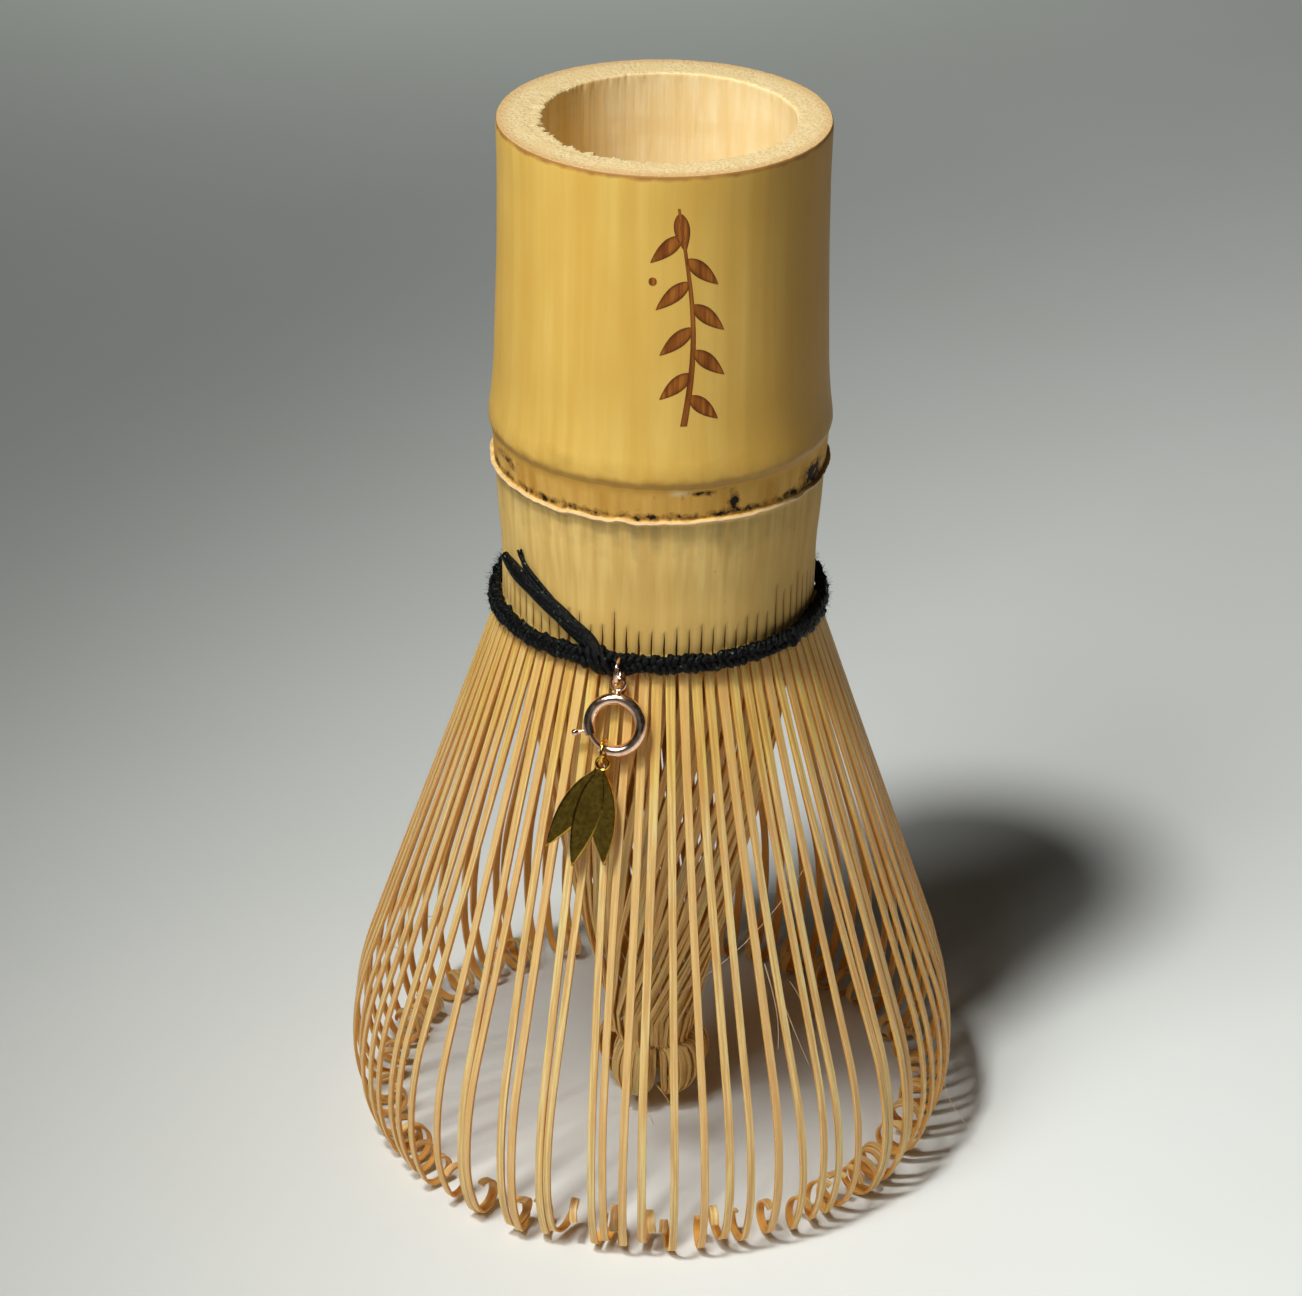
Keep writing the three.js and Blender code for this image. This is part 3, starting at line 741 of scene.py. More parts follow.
def add_ribbon(
    bm: bmesh.types.BMesh,
    blank: bpy.types.Mesh,
    ribbon: Ribbon,
    width: Callable[[float], float] = lambda share: 1.0,
    depth: Callable[[float], float] | None = None,
) -> list[tuple[bmesh.types.BMVert, Vector]]:
    """Bends a blank along a ribbon.

    Args:
        bm: The mesh that takes it.
        blank: A blank with a ring for each point of the ribbon.
        ribbon: Where it goes.
        width: Scale across the ribbon, by the share of its length.
        depth: Scale through the ribbon, as width where it isn't given.

    Returns:
        Each new vertex with its place on the blank.
    """
    frames = ribbon.frames()
    last = len(frames) - 1
    through = depth or width
    straight: list[Vector] = []

    def place(point: Vector) -> Vector:
        """A point of the blank, set on the ribbon."""
        straight.append(point.copy())
        ring = min(max(round(point.z), 0), last)
        centre, side, face = frames[ring]
        share = ring / last
        return centre + side * (point.x * width(share)) + face * (point.y * through(share))

    fresh = add_bent(bm, blank, place)
    return list(zip(fresh, straight))


def piece(
    name: str,
    bm: bmesh.types.BMesh,
    finishes: Iterable[Finish],
    body: str | None,
    stands_for: Sequence[str] = (),
    crease: float = 40.0,
) -> bpy.types.Object:
    """body: The body that it rides on, or None for one that is left on no body.
        stands_for: The CAD nodes that it replaces.
        crease: The angle past which an edge stays sharp, in degrees.

    Returns:
        The object.
    """
    mesh = bpy.data.meshes.new(name)
    for face in bm.faces:
        face.smooth = True
    bm.to_mesh(mesh)
    bm.free()
    mesh.set_sharp_from_angle(angle=math.radians(crease))
    obj = bpy.data.objects.new(name, mesh)
    bpy.context.scene.collection.objects.link(obj)
    for finish in finishes:
        mesh.materials.append(finish.material())
    if body:
        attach(obj, body)
    if stands_for:
        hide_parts(*stands_for)
    LOG.info("%s: %d faces", name, len(mesh.polygons))
    return obj


# ---- Handle ----


@dataclass
class Handle:
    """The uncut length of culm: sawn rim, bore, skin, node ridge, scar band, lip and split collar."""

    rim: float = field(default_factory=lambda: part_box("handle")[1].z / MM)
    thread_height: float = 57.6
    lip: float = 72.0
    ridge: float = 76.0
    foot: float = 57.2
    chamber: float = 12.1
    bore: float = 11.6
    bore_shift: float = 0.35
    septum: float = 76.7
    columns: int = 6
    split_width: float = 0.3
    split_depth: float = 1.0
    seed: int = 11
    tops: list[float] = field(init=False)
    skin_line: list[Vector] = field(init=False)

    def __post_init__(self) -> None:
        """Draws the height of each split, and the outline."""
        draw = random.Random(self.seed)
        self.tops = []
        for index in range(TINES):
            azimuth = math.degrees((index + 0.5) * PITCH)
            azimuth = azimuth - 360 if azimuth > 180 else azimuth
            top = self.thread_height + 3.1 + draw.uniform(-0.7, 0.5)
            top += 2.3 * bump_at(azimuth, 62, 34) * draw.uniform(0.5, 1.0)
            top += draw.choice((0, 0, 0, 0, 0, 1.3)) * draw.uniform(0.5, 1.0)
            self.tops.append(top)
        self.skin_line = densify(self.outer_keys())

    def outer_keys(self) -> list[tuple[float, float, float]]:
        """Radius, height and step of the outside, from the foot up to the sawn edge."""
        lip, ridge, rim = self.lip, self.ridge, self.rim
        return [
            (14.55, self.foot, 0.2),
            (14.8, self.foot + 0.5, 0.3),
            (14.84, self.foot + 5.8, 0.35),
            (14.92, self.foot + 7.3, 0.7),
            (15.21, lip - 4.5, 0.7),
            (15.36, lip - 1.4, 0.2),
            (15.46, lip - 0.42, 0.08),
            (15.82, lip - 0.2, 0.06),
            (15.96, lip - 0.02, 0.06),
            (15.86, lip + 0.09, 0.07),
            (15.5, lip + 0.16, 0.07),
            (15.52, lip + 0.5, 0.16),
            (15.72, ridge - 1.0, 0.12),
            (15.84, ridge - 0.5, 0.09),
            (16.02, ridge + 0.1, 0.16),
            (15.95, ridge + 0.9, 0.3),
            (15.74, ridge + 2.4, 0.6),
            (15.5, ridge + 5.2, 1.0),
            (15.3, ridge + 11.0, 1.1),
            (15.12, ridge + 17.0, 1.1),
            (15.05, rim - 5.0, 0.6),
            (15.14, rim - 0.9, 0.1),
            (15.14, rim - 0.16, 0.05),
            (15.02, rim, 0.06),
        ]

    def outline(self) -> list[Vector]:
        """The whole half-section, from the septum's foot round the outside to its top."""
        under = [
            (0.0, self.septum - 2, 3.0), (self.chamber, self.septum - 2, 3.0),
            (self.chamber, self.foot, 0.6)
        ]
        inside = densify([*under, (14.5, self.foot, 1.0)], passes=0)
        top = [(15.0, self.rim, 0.25), (self.bore + 0.12, self.rim, 0.08), (self.bore, self.rim - 0.15, 0.15)]
        down = [
            (self.bore, self.rim - 1.5, 0.8), (self.bore, self.rim - 12, 1.5),
            (self.bore, self.septum, 2.0)
        ]
        over = densify([*top, *down, (0.0, self.septum, 1.0)], passes=1)
        return [*inside, *self.skin_line, *over]

    def skin_radius(self, azimuth: float, height: float) -> float:
        """Radius of the outside at a place.

        Args:
            azimuth: Azimuth in radians.
            height: Height in millimetres.

        Returns:
            The radius in millimetres.
        """
        line = self.skin_line
        low, high = 0, len(line) - 1
        while high - low > 1:
            middle = (low + high) // 2
            low, high = (middle, high) if line[middle].z <= height else (low, middle)
        share = (height - line[low].z) / max(line[high].z - line[low].z, 1e-6)
        radius = lerp(line[low].x, line[high].x, min(max(share, 0.0), 1.0))
        return radius + self.flute(azimuth, height)

    def flute(self, azimuth: float, height: float) -> float:
        """Slow hollows and swellings round the culm, in millimetres."""
        x, y = math.cos(azimuth), math.sin(azimuth)
        broad = 0.05 * fractal(x * 2.2, y * 2.2, height * 0.02)
        return broad + 0.018 * fractal(x * 14, y * 14, height * 0.02)

    def split(self, azimuth: float, height: float) -> tuple[float, float, float]:
        """Moves a column of the collar to the edge or the bottom of its split.

        Args:
            azimuth: The column's azimuth in radians.
            height: Height in millimetres.

        Returns:
            The new azimuth, how far the surface sinks and how much painted shade darkens it.
        """
        index = math.floor(azimuth / PITCH + 1e-4)
        column = round((azimuth / PITCH - index) * self.columns)
        if column in (0, 1, self.columns - 1, self.columns):
            return azimuth, 0.0, 0.0
        top = self.tops[index % TINES]
        opening = min(max((top - height) / (top - self.thread_height), 0.0), 1.0)
        closed = blend_share(height, top, top + 1.2)
        half = max(self.split_width / 2 * opening**0.8, 0.02) + 0.1 * closed
        wander = 0.06 * fractal(index * 3.1, height * 0.5, 0.0) * blend_share(height, 57, 60)
        centre = (index + 0.5) * PITCH + wander / 14.9
        middle = column == self.columns // 2
        side = 0 if middle else (1 if column > self.columns // 2 else -1)
        sink = self.split_depth * blend_share(top - height, 0.0, 0.9) if middle else 0.04 * (opening > 0)
        # Painted shade: darkest at the bottom of the split, lighter on its walls.
        dark = blend_share(top - height, -0.1, 0.3) * (1.0 if middle else 0.35)
        return centre + side * half / 14.9, sink, dark

    def shape(self, bm: bmesh.types.BMesh) -> None:
        """Moves the spun surface to its worn, split and chipped shape, and paints its masks.

        Args:
            bm: The spun culm, in millimetres.
        """
        paint = {
            name: bm.verts.layers.float.new(name)
            for name in ("split", "residue", "pale", "near_skin", "lip_edge", "worn", "aged")
        }
        for vert in bm.verts:
            radius = math.hypot(vert.co.x, vert.co.y)
            azimuth = math.atan2(vert.co.x, -vert.co.y) % math.tau
            height = vert.co.z
            if radius < 0.5:
                continue
            x, y = math.cos(azimuth), math.sin(azimuth)
            degrees = math.degrees(azimuth)
            degrees = degrees - 360 if degrees > 180 else degrees
            outside = radius > 14.3
            inner = radius < 12.6 and height > self.septum - 1
            shift = Vector((self.bore_shift, 0, 0)) * blend_share(14.9, radius, radius + 3.4)
            if outside:
                azimuth, sink, dark = self.split(azimuth, height) if height < 66 else (azimuth, 0.0, 0.0)
                radius += self.flute(azimuth, height) - sink
                vert[paint["split"]] = dark
                near = bump_at(height, self.lip, 1.7)
                height += near * (0.16 * fractal(x * 2.4, y * 2.4, 3.0) + 0.13 * fractal(x * 11, y * 11, 5.0))
                edge = bump_at(vert.co.z, self.lip, 0.55)
                radius += edge * 0.13 * fractal(x * 7, y * 7, 9.0)
                vert[paint["lip_edge"]] = bump_at(vert.co.z, self.lip - 0.03, 0.2)
                fold = bump_at(vert.co.z, self.ridge - 0.3, 0.9)
                height += fold * 0.14 * fractal(x * 9, y * 9, 1.0)
                vert[paint["worn"]] = 0.5 + 0.5 * fractal(x * 3, y * 3, 2.0)
                # Painted shade mask: 1 on the right side, which the light leaves in shade, used on the skin and the
                # collar.
                vert[paint["aged"]] = blend_share(degrees, 12, 70) * blend_share(degrees, 180, 120)
                self.paint_band(vert, paint, degrees)
            if vert.co.z > self.rim - 0.02 and radius > self.bore:
                vert[paint["near_skin"]] = blend_share(radius, 13.6, 15.1)
                height += 0.03 * fractal(x * radius * 3, y * radius * 3, 0.0)
            if inner:
                broad = 0.05 * fractal(x * 9, y * 9, height * 0.05)
                radius += broad + 0.02 * fractal(x * 40, y * 40, height * 0.1)
                radius, height = self.chip(radius, height, degrees, x, y)
            vert.co = outward(azimuth) * radius + UP * height
            if radius < 14.9:
                vert.co += shift

    def paint_band(self, vert: bmesh.types.BMVert, paint: dict, degrees: float) -> None:
        """Paints the residue and the bare patch of the scar band.

        Args:
            vert: The vertex, still on the true lathe surface.
            paint: The mask layers.
            degrees: Its azimuth.
        """
        height = vert.co.z
        low = bump_at(height, self.lip + 0.5, 0.75)
        patchy = 0.5 + 0.5 * fractal(degrees * 0.11, 4.0, 0.0)
        residue = low * (0.1 + 0.46 * patchy)
        residue += 0.5 * bump_at(degrees, 25.8, 4.0) * bump_at(height, self.lip + 1.7, 1.5)
        residue += 0.42 * bump_at(degrees, 13, 11) * bump_at(height, self.lip + 2.9, 0.5)
        residue += 0.55 * bump_at(degrees, 64, 12) * bump_at(height, self.lip + 1.5, 1.5)
        residue += 0.35 * bump_at(degrees, -64, 14) * bump_at(height, self.lip + 2.2, 1.2)
        vert[paint["residue"]] = residue
        vert[paint["pale"]] = bump_at(degrees, 6.5, 5.0) * bump_at(height, self.lip + 3.0, 0.5)

    def chip(self, radius: float, height: float, degrees: float, x: float, y: float) -> tuple[float, float]:
        """Tears the bore's upper edge, most of all on the left.

        Args:
            radius: The place's radius in millimetres.
            height: Its height.
            degrees: Its azimuth.
            x: Cosine of the azimuth.
            y: Sine of the azimuth.

        Returns:
            The new radius and height.
        """
        near = blend_share(height, self.rim - 1.2, self.rim - 0.1)
        torn = 0.16 + 0.84 * bump_at(degrees, -62, 95)
        jag = fractal(x * 30, y * 30, 7.0, 4)
        radius -= near * torn * (0.62 * jag + 0.12)
        height -= near * torn * 0.22 * (0.5 + fractal(x * 18, y * 18, 2.0))
        return radius, min(height, self.rim)

    def zone(self, face: bmesh.types.BMFace) -> int:
        """Which finish a face takes, by its place on the true lathe surface."""
        middle = face.calc_center_median()
        radius = math.hypot(middle.x, middle.y)
        if middle.z > self.rim - 0.1 and radius < 15.06:
            return 1
        if radius < 14.3:
            return 2
        if middle.z > self.ridge - 0.62:
            return 0
        return 3 if middle.z > self.lip + 0.16 else 4

    def build(self) -> None:
        """Spins the half-section, shapes it and dresses it."""
        bm = bmesh.new()
        line = [bm.verts.new((0.0, -p.x, p.z)) for p in self.outline()]
        edges = [bm.edges.new(pair) for pair in zip(line, line[1:])]
        bmesh.ops.spin(
            bm,
            geom=[*line, *edges],
            cent=(0, 0, 0),
            axis=(0, 0, 1),
            angle=math.tau,
            steps=TINES * self.columns,
            use_merge=True,
            use_duplicate=False,
        )
        bmesh.ops.remove_doubles(bm, verts=bm.verts, dist=1e-4)
        bmesh.ops.recalc_face_normals(bm, faces=bm.faces)
        for face in bm.faces:
            face.material_index = self.zone(face)
        self.shape(bm)
        bmesh.ops.scale(bm, vec=(MM, MM, MM), verts=bm.verts)
        finishes = [
            PolishedSkin("bamboo culm skin, rubbed", roughness=0.46, specular=0.3, relief=0.08, streak_mm=1.5,
                dark="#e0b354", light="#eac062", cloud="#dcac4a"),
            SawnRim("bamboo end grain, sawn", roughness=0.85, specular=0.2),
            StreakedBamboo(
                "bamboo bore wall, scraped", roughness=0.8, dark="#edd093", light="#f5dfae", cloud="#eccf94",
                streak_mm=1.3, streak_length_mm=9, relief=0.45, relief_mm=0.09, specular=0.15, fibre_mm=0.4,
            ),
            ScarBand(
                "bamboo sheath scar, matt", roughness=0.7, specular=0.15, dark="#c7923e",
                light="#e2b25c", cloud="#d09e48",
                relief=0.4,
            ),
            ShavedCollar(
                "bamboo collar, scraped", roughness=0.66, dark="#e3b765", light="#f6d07e", cloud="#dcb05e",
                streak_mm=0.9, specular=0.3, relief=0.3,
            ),
        ]
        piece("whisk_handle", bm, finishes, "culm", ["handle"], crease=50)


# ---- Outer tines ----


@dataclass
class Tine:
    """One outer tine: its own place, width, tone and curl, drawn from a seed."""

    index: int
    draw: random.Random
    spread: float = 30.0
    spread_height: float = 7.85
    thread_height: float = 57.6
    root_reach: float = 14.7
    root_bend: float = 4.0
    hip_bend: float = 32.0
    ankle_bend: float = 15.4
    ankle_turn: float = math.radians(25)
    curl: float = 2.0
    curl_end: float = 1.35
    steps: tuple[int, ...] = (2, 4, 10, 10, 6, 30)
    full_length: float = 55.0
    charm_first: int = -5
    front_first: int = -9
    # How far each front tine's foot lies from its even place, in tine pitches. A helper program measured them.
    front_drift: tuple[float, ...] = (
        0.58, 0.0, 0.72, 0.18, 0.3, -0.36, 0.53, 0.02, -0.18, -0.34,
        -0.06, 0.19, 0.17, 0.14, 0.36, 0.5, 0.46, 0.33, 0.43, 0.9,
    )

    def stretches(self) -> list[tuple[float, float, float, float]]:
        """Length, turn, first and last radius of each stretch below the root.

        Returns:
            Stretches that reach the tine's widest place.
        """
        reach = self.spread - self.root_reach
        drop = self.thread_height + self.root_bend / 3 - self.spread_height
        bends = self.root_bend + self.hip_bend
        run = math.sqrt(drop**2 + (reach - bends) ** 2 - bends**2)
        flare = math.atan2(reach - bends, drop) + math.atan2(bends, run)
        curl = math.radians(self.draw.uniform(238, 350))
        radius = self.curl * self.draw.uniform(0.88, 1.06)
        end = self.curl_end * self.draw.uniform(0.8, 1.1)
        return [
            (0.9, 0.0, 0.0, 0.0),
            (flare * self.root_bend, -flare, self.root_bend, self.root_bend),
            (run, 0.0, 0.0, 0.0),
            (flare * self.hip_bend, flare, self.hip_bend, self.hip_bend),
            (self.ankle_turn * self.ankle_bend, self.ankle_turn, self.ankle_bend, self.ankle_bend),
            (curl * (radius + end) / 2, curl, radius, end),
        ]

    def ribbon(self) -> tuple[Ribbon, list[float]]:
        """The tine's line from root to tip.

        Returns:
            The ribbon, and the length along it at each ring.
        """
        draw = self.draw
        azimuth = self.index * PITCH
        signed = self.index if self.index <= TINES // 2 else self.index - TINES
        front = signed - self.front_first
        drift = math.radians(draw.gauss(0, 0.75))
        if 0 <= front < len(self.front_drift):
            drift = self.front_drift[front] * PITCH + drift / 6
        bow = math.radians(draw.gauss(0, 0.35))
        skew = draw.gauss(0, 0.16)
        stand = draw.uniform(-0.3, 0.3)
        if self.charm_first <= signed <= 0:
            stand = -abs(stand) - 0.15
        foot = abs(draw.gauss(0, 0.35))
        reach, height, heading, length, sway = self.root_reach, self.thread_height + 2.1, 0.0, 0.0, 0.0
        rings: list[tuple[float, float, float, float, float]] = [(reach, height, heading, length, sway)]
        for (span, turn, start, end), count in zip(self.stretches(), self.steps):
            in_curl = start > 0 and start < self.root_bend and turn > math.pi
            for i in range(count):
                share = (i + 0.5) / count
                step = span / count
                swing = turn / count
                if in_curl:
                    radius = lerp(start, end, share)
                    step = abs(swing) * radius
                    sway += skew * step
                middle = heading + swing / 2
                reach -= step * math.sin(middle)
                height -= step * math.cos(middle)
                heading += swing
                length += step
                rings.append((reach, height, heading, length, sway))
        lowest = min(h - 0.18 for _, h, _, _, _ in rings)
        lift = foot - lowest
        points, facing, along = [], [], []
        for reach, height, heading, length, sway in rings:
            share = blend_share(length, 2.0, self.full_length)
            out = reach + stand * share
            bowed = bow * math.sin(math.pi * min(length / self.full_length, 1.0))
            angle = azimuth + drift * share + bowed
            normal = outward(angle) * math.cos(heading) - UP * math.sin(heading)
            centre = outward(angle) * out + UP * (height + lift * share) - normal * 0.16
            points.append(centre + sideways(angle) * sway)
            facing.append(normal)
            along.append(length)
        return Ribbon(points, facing), along


@dataclass
class OuterTines:
    """The outer crown: 16 sectors of five curled tines."""

    width: float = 0.82
    thickness: float = 0.3
    bevel: float = 0.05
    seed: int = 5
    hinge_height: float = 58.9
    bend_height: float = 47.0

    def build(self) -> None:
        """Bends each tine, paints its masks and makes each sector a piece on no body, with its transform baked in.
        """
        blank = strip_blank(self.width, self.thickness, sum(Tine.steps), self.bevel)
        finish = SplitStrip("bamboo tine, split and scraped", roughness=0.5, specular=0.45, glow=0.5)
        draw = random.Random(self.seed)
        per_sector = TINES // SECTORS
        for sector in range(SECTORS):
            bm = bmesh.new()
            layers = {n: bm.verts.layers.float.new(n) for n in ("along", "across", "tone", "side", "back")}
            for k in range(per_sector):
                tine = Tine(sector * per_sector + k, draw)
                self.add_tine(bm, blank, tine, draw, layers)
            number = f"{sector + 1:02d}"
            obj = piece(
                f"tine_sector_{number}", bm, [finish], None, [f"outer_tines_{number}"], crease=35
            )
            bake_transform(obj)

    def add_tine(
        self,
        bm: bmesh.types.BMesh,
        blank: bpy.types.Mesh,
        tine: Tine,
        draw: random.Random,
        layers: dict,
    ) -> None:
        """Adds one tine to its sector.

        Args:
            bm: The sector's mesh.
            blank: The straight strip.
            tine: The tine's sizes.
            draw: Where its chance values come from.
            layers: The mask layers.
        """
        ribbon, along = tine.ribbon()
        last = len(along) - 1
        breadth = draw.uniform(0.93, 1.06)
        tone = draw.random()

        def width(share: float) -> float:
            """Width at this share of the length, against the blank's."""
            place = along[round(share * last)]
            root = 0.18 * (1 - blend_share(place, 1, 14)) + 0.1 * (1 - blend_share(place, 5, 32))
            return breadth * (0.94 + root)

        def depth(share: float) -> float:
            """Thickness at this share of the length, against the blank's."""
            return lerp(1.15, 0.85, share)

        for vert, flat in add_ribbon(bm, blank, ribbon, width, depth):
            ring = min(max(round(flat.z), 0), last)
            vert[layers["along"]] = along[ring]
            vert[layers["across"]] = flat.x / self.width
            vert[layers["tone"]] = tone
            # Masks for painted shade on the cut sides and on the back faces.
            vert[layers["side"]] = 1.0 if abs(flat.x) > self.width / 2 - self.bevel / 2 else 0.0
            vert[layers["back"]] = 1.0 if flat.y < 0 else 0.0


# ---- Inner tines ----


@dataclass
class Core:
    """The inner tines: fine strips gathered in a twisted cone that ends in a knob of rolled lobes."""

    bundles: int = 8
    top: float = 59.4
    neck: float = 9.5
    width: float = 0.5
    thickness: float = 0.22
    twist: float = 100.0
    lobes: int = 5
    lobe_turn: float = math.radians(38)
    cone_steps: int = 34
    knob_steps: int = 16
    seed: int = 23
    cone: list[Vector] = field(init=False)
    roll: list[Vector] = field(init=False)

    def __post_init__(self) -> None:
        """Draws the cone's and the knob's half-sections."""
        cone = [
            (13.2, self.top, 1.0), (12.4, 49.0, 1.0), (11.6, 42.0, 1.0), (10.2, 34.7, 1.0),
            (7.9, 24.0, 1.0)
        ]
        self.cone = densify([*cone, (5.1, 15.5, 1.0), (4.1, self.neck, 1.0)], passes=6)
        points = [(4.05, self.neck), (3.6, 8.3), (3.9, 7.5), (4.9, 7.3), (5.6, 5.9), (5.5, 4.0), (4.7, 2.4)]
        corners = [Vector((r, 0.0, z)) for r, z in [*points, (3.3, 1.6), (1.8, 1.8)]]
        self.roll = smooth_route(corners, self.knob_steps)

    def cone_place(self, share: float) -> tuple[float, float, float]:
        """Radius, height and twist of the cone at a share of its length."""
        place = share * (len(self.cone) - 1)
        first = min(int(place), len(self.cone) - 2)
        spot = self.cone[first].lerp(self.cone[first + 1], place - first)
        turned = 0.0
        for a, b in zip(self.cone[: first + 1], self.cone[1 : first + 2]):
            part = min(max(place - self.cone.index(a), 0.0), 1.0)
            turned -= math.radians(self.twist / ((a.x + b.x) / 2) ** 2) * (a.z - b.z) * part
        return spot.x, spot.z, turned

    def ribbon(self, index: int, draw: random.Random) -> Ribbon:
        """One strip from the collar to its tip under the knob.

        Args:
            index: The strip's number round the cone.
            draw: Where its chance values come from.

        Returns:
            Its ribbon.
        """
        base = index * PITCH + math.radians(draw.gauss(0, 0.7))
        layer = (index % 3) * 0.24
        weave = draw.uniform(0, math.tau)
        points = []
        facing = []
        turned = 0.0
        for i in range(self.cone_steps):
            radius, height, turned = self.cone_table[i]
            low = blend_share(height, 30, 12)
            azimuth = base + turned + math.radians(1.6) * math.sin(weave + height * 0.22)
            radius += layer * (0.4 + 0.9 * low) - 0.3 + 0.12 * math.sin(weave * 3 + height * 0.3)
            points.append(around(azimuth, radius, height))
            facing.append(outward(azimuth))
        arrival = (base + turned) % math.tau
        width = math.tau / self.lobes
        lobe = round((arrival - self.lobe_turn) / width)
        middle = lobe * width + self.lobe_turn
        share = (arrival - middle) / (width / 2)
        swirl = math.radians((7, -5, 3, -8, 5)[lobe % self.lobes])
        depth = draw.uniform(-0.38, 0.18)
        for i, spot in enumerate(self.roll[1:], 1):
            t = i / self.knob_steps
            ball = blend_share(t, 0.08, 0.42)
            spread = lerp(1.0, lerp(0.92, 0.45, blend_share(t, 0.55, 1.0)), ball)
            azimuth = middle + share * (width / 2) * spread + swirl * ball * math.sin(t * math.pi)
            radius = (
                spot.x - 1.5 * share**2 * ball * math.sin(t * math.pi) + depth * ball + layer * (1 - ball)
            )
            points.append(around(azimuth, radius, spot.z + 0.25 * depth))
            facing.append(self.roll_facing(i, azimuth))
        return Ribbon(points, facing)

    def roll_facing(self, index: int, azimuth: float) -> Vector:
        """Outward normal of the knob at a ring of its half-section."""
        before = self.roll[max(index - 1, 0)]
        after = self.roll[min(index + 1, len(self.roll) - 1)]
        ahead = (after - before).normalized()
        return outward(azimuth) * -ahead.z + UP * ahead.x

    def build(self) -> None:
        """Bends all strips, bundle by bundle."""
        self.cone_table = [self.cone_place(i / self.cone_steps) for i in range(self.cone_steps)]
        steps = self.cone_steps + self.knob_steps - 1
        blank = strip_blank(self.width, self.thickness, steps, 0.05)
        # The core strips get the same painted shade on their sides and backs.
        finish = SplitStrip(
            "bamboo core strip, split fine", roughness=0.6, specular=0.3, skin="#f8cf80", wood="#fdd88e",
            deep="#b86c18", back="#e0a045", skin_length_mm=20, glow=0.5,
        )
        draw = random.Random(self.seed)
        per_bundle = TINES // self.bundles
        for bundle in range(self.bundles):
            bm = bmesh.new()
            layers = {n: bm.verts.layers.float.new(n) for n in ("along", "across", "tone", "side", "back")}
            for k in range(per_bundle):
                ribbon = self.ribbon(bundle * per_bundle + k, draw)
                tone = draw.random()
                breadth = draw.uniform(0.85, 1.1)

                def width(share: float) -> float:
                    """Width at this share of the length, against the blank's."""
                    return breadth * lerp(2.0, 0.86, blend_share(share, 0.1, 0.68))

                for vert, flat in add_ribbon(bm, blank, ribbon, width):
                    vert[layers["along"]] = flat.z * 1.6
                    vert[layers["across"]] = flat.x / self.width
                    vert[layers["tone"]] = tone
                    # Masks for painted shade on the cut sides and on the back faces.
                    vert[layers["side"]] = 1.0 if abs(flat.x) > self.width / 2 - 0.03 else 0.0
                    vert[layers["back"]] = 1.0 if flat.y < 0 else 0.0
            name = f"core_strips_{bundle + 1}"
            piece(name, bm, [finish], "culm", [f"inner_tines_{bundle + 1}"], crease=35)


# ---- Thread ----


